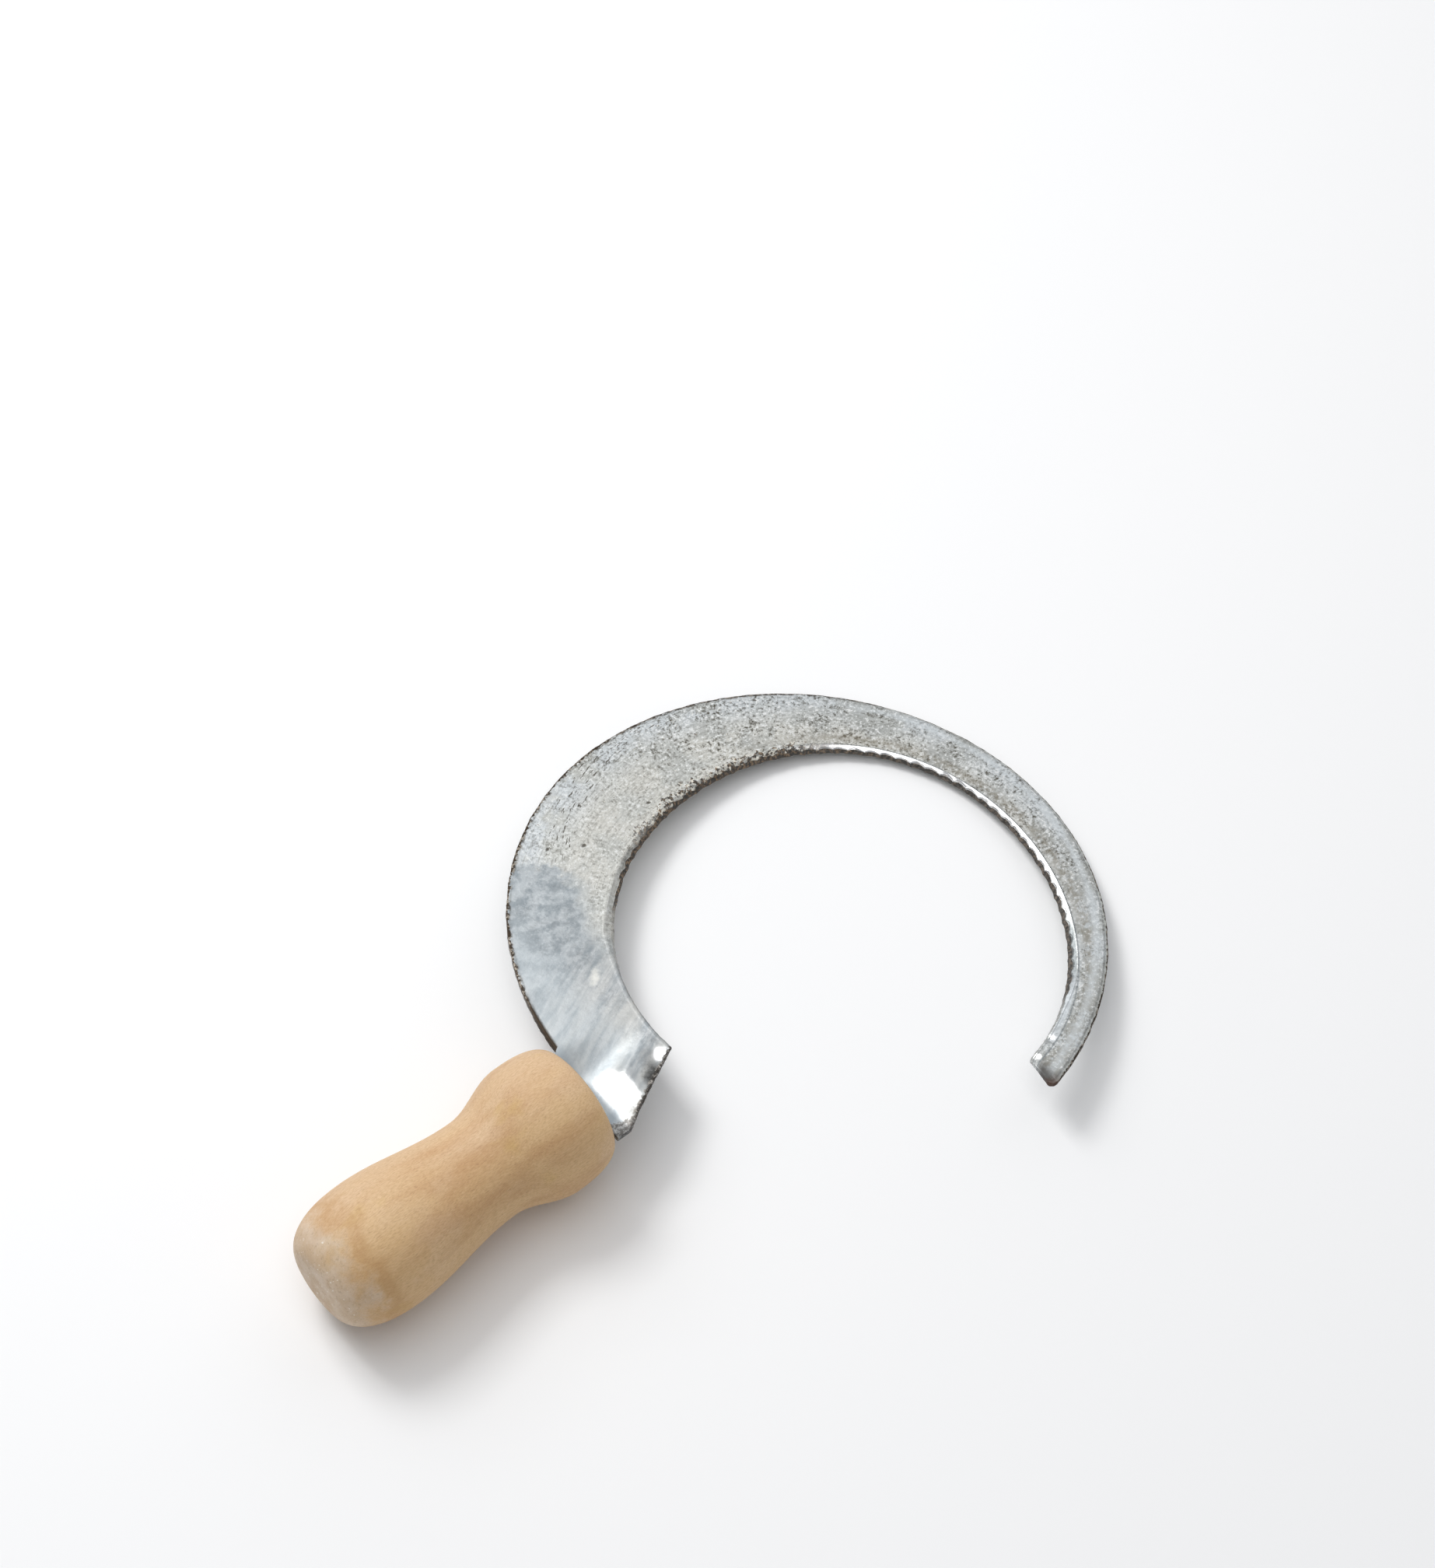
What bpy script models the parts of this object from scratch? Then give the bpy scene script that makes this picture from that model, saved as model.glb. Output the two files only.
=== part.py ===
"""Hand sickle: a forged, toothed C-shaped blade whose bent tang is driven into a turned wooden handle.

The sickle is modelled as it lies on the ground, +Z up: the handle's axis runs along +X from butt to
head, both of its swellings touch the ground, and the blade slopes down to touch it at its far rim.
The origin is the centre of the bounding box's base. Lengths are in metres.
"""

import math

import bmesh
import bpy
from mathutils import Matrix, Vector

# Handle, turned about its axis. Stations along the axis are measured from the butt's flat end.
HANDLE_LENGTH = 0.0981
BUTT_FACE_RADIUS = 0.0090
BUTT_BULGE_RADIUS = 0.0212
BUTT_BULGE_AT = 0.0224
WAIST_RADIUS = 0.0169
WAIST_AT = 0.0610
HEAD_BULGE_RADIUS = 0.0223
HEAD_BULGE_AT = 0.0818
HEAD_FACE_RADIUS = 0.0155
BUTT_ROUNDING = 2.3
HEAD_ROUNDING = 2.5
END_STATIONS = 9
SWELL_STATIONS = 9
HANDLE_SEGMENTS = 56
# Distance from the centre of the blade's back circle to the head's flat end, along the axis.
HEAD_FACE_FROM_CENTRE = 0.0974

# Blade outline, in the plane of the plate: its back and its cutting edge are two offset circles.
BACK_RADIUS = 0.0950
EDGE_RADIUS = 0.0714
EDGE_CENTRE = Vector((0.0074, -0.0085))
BACK_WAVE = 0.0006
BACK_WAVE_PHASE = math.radians(105)
EDGE_WAVE = 0.0013
EDGE_WAVE_PHASE = math.radians(40)
WAVES_PER_TURN = 3
HEEL_EDGE_ANGLE = math.radians(181.5)
HEEL_BACK_ANGLE = math.radians(195.0)
TIP_EDGE_ANGLE = math.radians(-79.3)
TIP_BACK_ANGLE = math.radians(-78.3)
TIP_CORNER_RADIUS = 0.0025

# Blade section.
PLATE_THICKNESS = 0.0020
BEVEL_WIDTH = 0.0024
EDGE_THICKNESS = 0.0006
RIM_WIDTH = 0.0019
RIM_DROP = 0.0004
FACE_STRIPS = 6

# Teeth filed into the cutting edge.
TOOTH_PITCH = 0.0050
TOOTH_DEPTH = 0.0011
TOOTH_STEPS = 6
TEETH_FROM = math.radians(-74)
TEETH_TO = math.radians(127)
CUTTER_REACH = 0.0060

# Lie of the blade: the slope of the plate, the direction it falls in, and its sideways offset.
PLATE_SLOPE = math.radians(8.0)
FALL_DIRECTION = math.radians(32)
BLADE_SIDE_OFFSET = 0.0058

# Heel and tang.
SHOULDER_GAP = 0.0004
SHOULDER_BACK_ANGLE = math.radians(174)
SHOULDER_LOW_Y = -0.0184
SHOULDER_HIGH_Y = 0.0138
NECK_ROWS = 4
JOGGLE_START = -0.0840
JOGGLE_LENGTH = 0.0140
JOGGLE_DROP = 0.0041
JOGGLE_FADE_HIGH = 0.0090
JOGGLE_FADE_LOW = -0.0030
TANG_LENGTH = 0.0640
TANG_ROOT_WIDTH = 0.0090
TANG_END_WIDTH = 0.0036
TANG_ROWS = 5
TANG_CLEARANCE = 0.00035
BORE_EXTRA_DEPTH = 0.0020
BORE_OVERRUN = 0.0020

# Blade stations: close together over the heel's bend, wider along the rest.
HEEL_STATIONS = 17
HEEL_SHARE = 0.105
BODY_STATIONS = 66
TIP_ROUND_STATIONS = 6

STEEL_COLOUR = (0.47, 0.47, 0.46, 1.0)
STEEL_ROUGHNESS = 0.42
WOOD_COLOUR = (0.66, 0.44, 0.25, 1.0)
WOOD_ROUGHNESS = 0.62
SHARP_ANGLE = math.radians(32)

HALF_PLATE = PLATE_THICKNESS / 2


def clear_scene():
    for obj in list(bpy.data.objects):
        bpy.data.objects.remove(obj, do_unlink=True)


def make_material(name, colour, roughness, metallic):
    material = bpy.data.materials.new(name)
    material.use_nodes = True
    shader = material.node_tree.nodes["Principled BSDF"]
    shader.inputs["Base Color"].default_value = colour
    shader.inputs["Roughness"].default_value = roughness
    shader.inputs["Metallic"].default_value = metallic
    return material


def add_object(name, mesh_data, parent, material=None):
    mesh = bpy.data.meshes.new(name)
    mesh_data.to_mesh(mesh)
    mesh_data.free()
    obj = bpy.data.objects.new(name, mesh)
    bpy.context.scene.collection.objects.link(obj)
    obj.parent = parent
    if material:
        mesh.materials.append(material)
        mesh.shade_smooth()
        mesh.set_sharp_from_angle(angle=SHARP_ANGLE)
    return obj


def cut_with(obj, cutter):
    cutter.hide_render = True
    cutter.display_type = "WIRE"
    boolean = obj.modifiers.new("Cut", "BOOLEAN")
    boolean.operation = "DIFFERENCE"
    boolean.solver = "EXACT"
    boolean.object = cutter


def smoothstep(value):
    value = min(max(value, 0.0), 1.0)
    return value * value * (3 - 2 * value)


# Handle


def rounded_end(fraction, power):
    """Share of the way from the end face's radius to the bulge's, at a fraction of the way in."""
    return (1 - (1 - fraction) ** power) ** (1 / power)


def handle_profile():
    """(radius, station) pairs from the butt's face to the head's face."""
    points = []
    for step in range(END_STATIONS):
        fraction = 1 - math.cos(step / END_STATIONS * math.pi / 2)
        rise = rounded_end(fraction, BUTT_ROUNDING)
        radius = BUTT_FACE_RADIUS + (BUTT_BULGE_RADIUS - BUTT_FACE_RADIUS) * rise
        points.append((radius, BUTT_BULGE_AT * fraction))
    swells = (
        (BUTT_BULGE_RADIUS, BUTT_BULGE_AT, WAIST_RADIUS, WAIST_AT),
        (WAIST_RADIUS, WAIST_AT, HEAD_BULGE_RADIUS, HEAD_BULGE_AT),
    )
    for radius_from, at_from, radius_to, at_to in swells:
        for step in range(SWELL_STATIONS):
            fraction = step / SWELL_STATIONS
            blend = (1 - math.cos(fraction * math.pi)) / 2
            radius = radius_from + (radius_to - radius_from) * blend
            points.append((radius, at_from + (at_to - at_from) * fraction))
    for step in range(END_STATIONS, -1, -1):
        fraction = 1 - math.cos(step / END_STATIONS * math.pi / 2)
        rise = rounded_end(fraction, HEAD_ROUNDING)
        radius = HEAD_FACE_RADIUS + (HEAD_BULGE_RADIUS - HEAD_FACE_RADIUS) * rise
        points.append((radius, HANDLE_LENGTH - (HANDLE_LENGTH - HEAD_BULGE_AT) * fraction))
    return points


def handle_mesh():
    mesh = bmesh.new()
    rings = []
    for radius, station in handle_profile():
        ring = []
        for segment in range(HANDLE_SEGMENTS):
            turn = 2 * math.pi * segment / HANDLE_SEGMENTS
            ring.append(mesh.verts.new((radius * math.cos(turn), radius * math.sin(turn), station)))
        rings.append(ring)
    for lower, upper in zip(rings, rings[1:]):
        for segment in range(HANDLE_SEGMENTS):
            following = (segment + 1) % HANDLE_SEGMENTS
            mesh.faces.new((lower[segment], lower[following], upper[following], upper[segment]))
    mesh.faces.new(list(reversed(rings[0])))
    mesh.faces.new(rings[-1])
    return mesh


def bore_mesh():
    """Tapered slot for the tang, in the handle's frame: its mouth runs past the head's face."""
    mesh = bmesh.new()
    depth = TANG_LENGTH + BORE_EXTRA_DEPTH
    stations = (HANDLE_LENGTH - depth, HANDLE_LENGTH + BORE_OVERRUN)
    widths = (tang_width(1.0), tang_width(0.0))
    rings = []
    for station, width in zip(stations, widths):
        across = width / 2 + TANG_CLEARANCE
        through = HALF_PLATE + TANG_CLEARANCE
        corners = ((-through, -across), (through, -across), (through, across), (-through, across))
        rings.append([mesh.verts.new((x, y, station)) for x, y in corners])
    for corner in range(4):
        following = (corner + 1) % 4
        mesh.faces.new((rings[0][corner], rings[0][following], rings[1][following], rings[1][corner]))
    mesh.faces.new(list(reversed(rings[0])))
    mesh.faces.new(rings[1])
    return mesh


# Blade: an outline in the plate's plane, a section across it, and the neck and tang at its heel


def back_radius(angle):
    return BACK_RADIUS + BACK_WAVE * math.cos(WAVES_PER_TURN * (angle - BACK_WAVE_PHASE))


def edge_radius(angle):
    return EDGE_RADIUS + EDGE_WAVE * math.cos(WAVES_PER_TURN * (angle - EDGE_WAVE_PHASE))


def back_point(angle):
    return back_radius(angle) * Vector((math.cos(angle), math.sin(angle)))


def edge_point(angle, inset=0.0):
    return EDGE_CENTRE + (edge_radius(angle) + inset) * Vector((math.cos(angle), math.sin(angle)))


def tang_width(fraction):
    return TANG_ROOT_WIDTH + (TANG_END_WIDTH - TANG_ROOT_WIDTH) * fraction


def plate_frame():
    """Places the plate: +Z is its upper normal and +X runs as near the handle's axis as it can."""
    fall = Vector((math.cos(FALL_DIRECTION), math.sin(FALL_DIRECTION), 0))
    normal = math.sin(PLATE_SLOPE) * fall + math.cos(PLATE_SLOPE) * Vector((0, 0, 1))
    along = Vector((1, 0, 0)) - normal.x * normal
    along.normalize()
    across = normal.cross(along)
    axes = Matrix((along, across, normal)).transposed().to_4x4()
    rest_height = (
        back_radius(FALL_DIRECTION) * math.sin(PLATE_SLOPE) + HALF_PLATE * math.cos(PLATE_SLOPE)
    )
    return Matrix.Translation((0, BLADE_SIDE_OFFSET, rest_height)) @ axes


def joggle(x, y):
    """How far the heel is set down below the plate's plane, so that the tang meets the axis."""
    along = smoothstep((JOGGLE_START - x) / JOGGLE_LENGTH)
    across = smoothstep((JOGGLE_FADE_HIGH - y) / (JOGGLE_FADE_HIGH - JOGGLE_FADE_LOW))
    return JOGGLE_DROP * along * across


def station_shares():
    """Shares of the way from heel to tip, with the last ones crowded into the tip's rounding."""
    heel = [HEEL_SHARE * step / HEEL_STATIONS for step in range(HEEL_STATIONS)]
    round_share = TIP_CORNER_RADIUS / (EDGE_RADIUS * (HEEL_EDGE_ANGLE - TIP_EDGE_ANGLE))
    body_share = 1 - round_share - HEEL_SHARE
    body = [HEEL_SHARE + body_share * step / BODY_STATIONS for step in range(BODY_STATIONS)]
    tip = []
    for step in range(TIP_ROUND_STATIONS + 1):
        turn = step / TIP_ROUND_STATIONS * math.pi / 2
        tip.append(1 - round_share + round_share * math.sin(turn))
    return heel + body + tip, round_share


def tip_inset(share, round_share):
    """How far the two corners of the tip are drawn in at this share of the way."""
    into_round = max(0.0, (share - (1 - round_share)) / round_share)
    return TIP_CORNER_RADIUS * (1 - math.sqrt(max(0.0, 1 - into_round * into_round)))


def section_points(share, round_share):
    """Upper and lower rows of points across the plate, from the cutting edge to the back."""
    edge = edge_point(HEEL_EDGE_ANGLE + (TIP_EDGE_ANGLE - HEEL_EDGE_ANGLE) * share)
    back = back_point(HEEL_BACK_ANGLE + (TIP_BACK_ANGLE - HEEL_BACK_ANGLE) * share)
    across = (back - edge).normalized()
    inset = tip_inset(share, round_share)
    edge += across * inset
    back -= across * inset
    width = (back - edge).length
    bevel = min(BEVEL_WIDTH, width / 2)
    places = [0.0]
    face_width = width - bevel - RIM_WIDTH
    places += [bevel + face_width * step / FACE_STRIPS for step in range(FACE_STRIPS + 1)]
    places.append(width)
    upper = []
    lower = []
    for number, place in enumerate(places):
        point = edge + across * place
        drop = joggle(point.x, point.y)
        top = HALF_PLATE
        if number == 0:
            top = EDGE_THICKNESS - HALF_PLATE
        elif number == len(places) - 1 and not in_neck(share):
            top = HALF_PLATE - RIM_DROP
        upper.append(Vector((point.x, point.y, top - drop)))
        lower.append(Vector((point.x, point.y, -HALF_PLATE - drop)))
    return upper, lower


def in_neck(share):
    angle = HEEL_BACK_ANGLE + (TIP_BACK_ANGLE - HEEL_BACK_ANGLE) * share
    return angle > SHOULDER_BACK_ANGLE


def neck_rows(back_row, to_plate, axis_height):
    """Rows of (upper, lower) points from the blade's back to the shoulder, then along the tang."""
    last = len(back_row) - 1
    face_x = -HEAD_FACE_FROM_CENTRE
    rows = []
    for step in range(1, NECK_ROWS + 1):
        blend = step / NECK_ROWS
        upper = []
        lower = []
        for number in range(last + 1):
            side = SHOULDER_LOW_Y + (SHOULDER_HIGH_Y - SHOULDER_LOW_Y) * number / last
            shoulder = to_plate @ Vector((face_x + SHOULDER_GAP, side, axis_height))
            start = back_row[number]
            x = start.x + (shoulder.x - start.x) * blend
            y = start.y + (shoulder.y - start.y) * blend
            drop = joggle(x, y)
            upper.append(Vector((x, y, HALF_PLATE - drop)))
            lower.append(Vector((x, y, -HALF_PLATE - drop)))
        rows.append((upper, lower))
    roll = tang_roll()
    sideways = Vector((0, math.cos(roll), math.sin(roll)))
    upwards = Vector((0, -math.sin(roll), math.cos(roll)))
    for step in range(TANG_ROWS + 1):
        fraction = step / TANG_ROWS
        centre = Vector((face_x - TANG_LENGTH * fraction, 0, axis_height))
        upper = []
        lower = []
        for number in range(last + 1):
            side = tang_width(fraction) * (number / last - 0.5)
            upper.append(to_plate @ (centre + sideways * side + upwards * HALF_PLATE))
            lower.append(to_plate @ (centre + sideways * side - upwards * HALF_PLATE))
        rows.append((upper, lower))
    return rows


def tang_roll():
    """Turn of the tang about the handle's axis: it keeps the plate's sideways slope."""
    return -math.atan(math.tan(PLATE_SLOPE) * math.sin(FALL_DIRECTION))


def add_strip(mesh, first, second):
    """Quads between two rows of vertices."""
    for number in range(len(first) - 1):
        mesh.faces.new((first[number], first[number + 1], second[number + 1], second[number]))


def blade_mesh(to_plate, axis_height):
    mesh = bmesh.new()
    shares, round_share = station_shares()
    sections = [section_points(share, round_share) for share in shares]
    uppers = [[mesh.verts.new(point) for point in upper] for upper, lower in sections]
    lowers = [[mesh.verts.new(point) for point in lower] for upper, lower in sections]
    for row, following in zip(uppers, uppers[1:]):
        add_strip(mesh, row, following)
    for row, following in zip(lowers, lowers[1:]):
        add_strip(mesh, following, row)
    edge_top = [row[0] for row in uppers]
    edge_bottom = [row[0] for row in lowers]
    add_strip(mesh, edge_bottom, edge_top)
    columns = sum(1 for share in shares if in_neck(share))
    back_top = [row[-1] for row in uppers]
    back_bottom = [row[-1] for row in lowers]
    add_strip(mesh, back_top[columns - 1 :], back_bottom[columns - 1 :])
    add_strip(mesh, uppers[0], lowers[0])
    add_strip(mesh, lowers[-1], uppers[-1])
    neck_start = [upper[-1] for upper, lower in sections[:columns]]
    top_rows = [back_top[:columns]]
    bottom_rows = [back_bottom[:columns]]
    for upper, lower in neck_rows(neck_start, to_plate, axis_height):
        top_rows.append([mesh.verts.new(point) for point in upper])
        bottom_rows.append([mesh.verts.new(point) for point in lower])
    for row, following in zip(top_rows, top_rows[1:]):
        add_strip(mesh, row, following)
    for row, following in zip(bottom_rows, bottom_rows[1:]):
        add_strip(mesh, following, row)
    add_strip(mesh, [row[0] for row in top_rows], [row[0] for row in bottom_rows])
    add_strip(mesh, [row[-1] for row in bottom_rows], [row[-1] for row in top_rows])
    add_strip(mesh, top_rows[-1], bottom_rows[-1])
    bmesh.ops.recalc_face_normals(mesh, faces=mesh.faces)
    return mesh


def teeth_mesh():
    """Cutter for the gullets: a scalloped band that reaches in from the space inside the C."""
    mesh = bmesh.new()
    arc = EDGE_RADIUS * (TEETH_TO - TEETH_FROM)
    count = round(arc / TOOTH_PITCH)
    outline = []
    for step in range(count * TOOTH_STEPS + 1):
        phase = step / TOOTH_STEPS
        angle = TEETH_FROM + (TEETH_TO - TEETH_FROM) * phase / count
        depth = TOOTH_DEPTH * abs(math.sin(phase * math.pi))
        outline.append((edge_point(angle, depth), edge_point(angle, -CUTTER_REACH)))
    levels = (-PLATE_THICKNESS, PLATE_THICKNESS)
    rows = []
    for level in levels:
        outer = [mesh.verts.new((gullet.x, gullet.y, level)) for gullet, reach in outline]
        inner = [mesh.verts.new((reach.x, reach.y, level)) for gullet, reach in outline]
        rows.append((outer, inner))
    (outer_low, inner_low), (outer_high, inner_high) = rows
    add_strip(mesh, outer_low, outer_high)
    add_strip(mesh, inner_high, inner_low)
    add_strip(mesh, inner_low, outer_low)
    add_strip(mesh, outer_high, inner_high)
    mesh.faces.new((outer_low[0], outer_high[0], inner_high[0], inner_low[0]))
    mesh.faces.new((outer_low[-1], inner_low[-1], inner_high[-1], outer_high[-1]))
    bmesh.ops.recalc_face_normals(mesh, faces=mesh.faces)
    return mesh


def build_handle(parent, material):
    butt = Vector((-HEAD_FACE_FROM_CENTRE - HANDLE_LENGTH, 0, HEAD_BULGE_RADIUS))
    handle = add_object("handle", handle_mesh(), parent, material)
    bore = add_object("bore_cutter", bore_mesh(), parent)
    upright_to_axis = Matrix.Rotation(math.pi / 2, 3, "Y")
    handle.location = butt
    handle.rotation_euler = upright_to_axis.to_euler()
    bore.location = butt
    bore.rotation_euler = (Matrix.Rotation(tang_roll(), 3, "X") @ upright_to_axis).to_euler()
    cut_with(handle, bore)
    return handle


def build_blade(parent, material):
    frame = plate_frame()
    blade = add_object(
        "blade", blade_mesh(frame.inverted(), HEAD_BULGE_RADIUS), parent, material
    )
    teeth = add_object("teeth_cutter", teeth_mesh(), parent)
    for obj in (blade, teeth):
        obj.location = frame.to_translation()
        obj.rotation_euler = frame.to_euler()
    cut_with(blade, teeth)
    return blade


def centre_on_base(root, parts):
    """Moves the root so that the origin is the centre of the bounding box's base."""
    bpy.context.view_layer.update()
    corners = []
    for part in parts:
        corners += [part.matrix_world @ vertex.co for vertex in part.data.vertices]
    low = Vector([min(corner[axis] for corner in corners) for axis in range(3)])
    high = Vector([max(corner[axis] for corner in corners) for axis in range(3)])
    root.location = Vector((-(low.x + high.x) / 2, -(low.y + high.y) / 2, -low.z))


def main():
    clear_scene()
    root = bpy.data.objects.new("sickle", None)
    bpy.context.scene.collection.objects.link(root)
    steel = make_material("forged_steel", STEEL_COLOUR, STEEL_ROUGHNESS, 1.0)
    beech = make_material("turned_beech", WOOD_COLOUR, WOOD_ROUGHNESS, 0.0)
    blade = build_blade(root, steel)
    handle = build_handle(root, beech)
    centre_on_base(root, (blade, handle))


main()
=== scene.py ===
from math import atan, cos, pi, radians, sin, tan
from types import SimpleNamespace

import bmesh
import bpy
import numpy as np
from mathutils import Matrix, Vector, noise


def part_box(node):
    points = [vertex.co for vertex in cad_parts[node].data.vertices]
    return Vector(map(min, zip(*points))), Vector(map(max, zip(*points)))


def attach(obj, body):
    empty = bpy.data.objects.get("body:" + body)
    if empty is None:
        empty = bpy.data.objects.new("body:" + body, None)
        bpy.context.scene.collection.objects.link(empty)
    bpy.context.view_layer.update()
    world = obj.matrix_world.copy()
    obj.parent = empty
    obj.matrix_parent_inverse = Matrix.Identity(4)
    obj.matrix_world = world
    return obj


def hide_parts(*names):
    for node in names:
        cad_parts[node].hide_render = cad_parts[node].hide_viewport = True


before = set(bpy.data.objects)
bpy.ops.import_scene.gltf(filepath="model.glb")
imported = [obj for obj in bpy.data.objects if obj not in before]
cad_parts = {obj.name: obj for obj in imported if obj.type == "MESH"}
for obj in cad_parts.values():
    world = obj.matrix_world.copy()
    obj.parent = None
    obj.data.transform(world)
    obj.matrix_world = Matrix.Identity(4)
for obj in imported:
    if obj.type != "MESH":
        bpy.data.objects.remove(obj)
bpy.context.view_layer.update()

# Looks of the hand sickle: a finely modelled, worn blade and handle that stand for the two CAD nodes.
# The drawing's driving sizes are repeated here in metres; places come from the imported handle's box.

# Handle, turned about its axis. Stations along the axis are measured from the butt's flat end.
HANDLE_LENGTH = 0.0981
BUTT_FACE_RADIUS = 0.0090
BUTT_BULGE_RADIUS = 0.0212
BUTT_BULGE_AT = 0.0224
WAIST_RADIUS = 0.0169
WAIST_AT = 0.0610
HEAD_BULGE_RADIUS = 0.0223
HEAD_BULGE_AT = 0.0818
HEAD_FACE_RADIUS = 0.0155
BUTT_ROUNDING = 2.3
HEAD_ROUNDING = 2.5
END_STATIONS = 26
SWELL_STATIONS = 30
HANDLE_SEGMENTS = 144
CAP_RINGS = 6
HEAD_FACE_FROM_CENTRE = 0.0974

# Blade outline, in the plane of the plate.
BACK_RADIUS = 0.0950
EDGE_RADIUS = 0.0714
EDGE_CENTRE = np.array((0.0074, -0.0085))
BACK_WAVE = 0.0006
BACK_WAVE_PHASE = radians(105)
EDGE_WAVE = 0.0013
EDGE_WAVE_PHASE = radians(40)
WAVES_PER_TURN = 3
HEEL_EDGE_ANGLE = radians(181.5)
HEEL_BACK_ANGLE = radians(195.0)
TIP_EDGE_ANGLE = radians(-79.3)
TIP_BACK_ANGLE = radians(-78.3)
EDGE_ARC = EDGE_RADIUS * (HEEL_EDGE_ANGLE - TIP_EDGE_ANGLE)
TIP_CORNER_RADIUS = 0.0025
TIP_EDGE_CORNER = 0.0010

# Blade section.
PLATE_THICKNESS = 0.0020
HALF_PLATE = PLATE_THICKNESS / 2
BEVEL_WIDTH = 0.0032
EDGE_THICKNESS = 0.0006
EDGE_LAND = 0.0012
RIM_WIDTH = 0.0019
RIM_DROP = 0.0004
RIM_FROM_ANGLE = radians(110)
RIM_FADE = radians(40)
CROWN = 0.00012
ROUNDING = 0.00018
ROUNDING_PLACES = (0.0, 0.00005, 0.00011, ROUNDING)
BEVEL_ROWS = 8
FACE_ROWS = 34
RIM_ROWS = 3

# Teeth.
TOOTH_PITCH = 0.0050
TOOTH_BITE = 0.0011
TOOTH_NICK = 0.0004
TOOTH_STEPS = 10
TEETH_FROM = radians(-74)
TEETH_TO = radians(127)
GULLET_DEPTHS = (0.72, 1.0)
GULLET_LEANS = (0.85, 1.25)
GULLET_ROUNDNESS = 0.85
TOOTH_SEED = 5
FILE_GROOVE = 0.00022
GROOVE_REACH = 0.0019
BLUNT_SHARE = 0.35
HEEL_BLUNT_TO = 0.16
TIP_BLUNT_FROM = 0.88
BLUNT_FADE = 0.07

# Lie of the blade.
PLATE_SLOPE = radians(8.0)
FALL_DIRECTION = radians(32)
BLADE_SIDE_OFFSET = 0.0058

# Heel and tang.
SHOULDER_GAP = 0.0004
SHOULDER_BACK_ANGLE = radians(174)
SHOULDER_LOW_Y = -0.0184
SHOULDER_HIGH_Y = 0.0138
NECK_ROWS = 18
NECK_FADE = radians(2)
# Added to the distance from the back where the neck has no back.
NO_BACK = 0.02
# Taken off the place of the underside's outline, so that the slanted wall above it is told apart.
WALL_MARK = 0.0050
NECK_ROW_STEP = 0.0010
JOGGLE_DROP = 0.0041
# Start and length of the bend, where it is gentle and where it is sharp, and the sides in between.
GENTLE_BEND = (-0.0620, 0.0400)
SHARP_BEND = (-0.0825, 0.0110)
BEND_BLEND = (0.0010, -0.0110)
JOGGLE_FADE = (0.0100, -0.0030)
TANG_LENGTH = 0.0640
TANG_ROOT_WIDTH = 0.0090
TANG_END_WIDTH = 0.0036
TANG_ROWS = 12
TANG_CLEARANCE = 0.00035
BORE_EXTRA_DEPTH = 0.0020
BORE_OVERRUN = 0.0020
FAR_AWAY = 1.0
SMALLEST_WIDTH = 1e-4
HEEL_STATIONS = 120
TIP_STATIONS = 26
TIP_ROUND_STATIONS = 10

# Unevenness of the surfaces, as waves of smooth noise: (height, fineness, offset of the noise). The
# handle's waves also have how fine they are along its axis, as a share. The outline has no offset.
UPPER_WAVES = ((0.00005, 90, 3.1), (0.000018, 420, 11.7))
UNDERSIDE_WAVES = ((0.00005, 80, 27.3),)
HANDLE_WAVES = ((0.00005, 70, 5.5, 0.5), (0.000012, 300, 15.5, 0.6))
OUTLINE_WAVES = ((0.00020, 260), (0.00013, 1100))
OUTLINE_REACH = 0.0012
FAINTEST = 0.01
CALM_EDGE = 0.004
TURNING_RIDGE = 0.000008
TURNING_PITCH = 0.0021
# noise_vector takes its offsets from this seed, and from the clock where it isn't set.
OUTLINE_SEED = 13
SHARP_ANGLE = radians(38)

# Camera, floor and light.
CAMERA_DISTANCE = 1.2
CAMERA_ELEVATION = radians(58.58)
CAMERA_TURN = radians(43.78)
CAMERA_ROLL = radians(4.45)
CAMERA_AIM_RIGHT = -0.0325
CAMERA_AIM_UP = 0.0437
CAMERA_LENS = 88.32
FLOOR_HALF = 3.0
FLOOR_COLOUR = (0.93, 0.93, 0.93, 1.0)
FLOOR_ROUGHNESS = 0.9
SKY_COLOUR = (0.94, 0.96, 1.0, 1.0)
SKY_STRENGTH = 0.30
# Lamps aimed at the origin: (name, direction, distance, size, power, direction of the second side).
SOFTBOXES = (
    ("overhead", (-0.14, 0.28, 0.95), 1.3, (0.75, 2.4), 9.8, (0, 1, 0)),
    ("far_panel", (0.55, 0.50, 0.66), 1.5, (2.6, 2.0), 7.0, (0, 0, 1)),
    ("key", (-0.06, 0.58, 0.81), 1.6, (0.50, 0.50), 9.0, (0, 0, 1)),
)


def linear(red, green, blue):
    """A display colour, 0 to 255, as the linear colour that shaders take."""
    values = []
    for level in (red, green, blue):
        share = level / 255
        values.append(share / 12.92 if share <= 0.04045 else ((share + 0.055) / 1.055) ** 2.4)
    return (*values, 1.0)


def smoothstep(value):
    value = np.clip(value, 0.0, 1.0)
    return value * value * (3 - 2 * value)


def fade(value, start, end):
    """0 up to start and 1 from end on, where end may also be the lower one."""
    return smoothstep((value - start) / (end - start))


# ---------------------------------------------------------------- nodes


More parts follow.
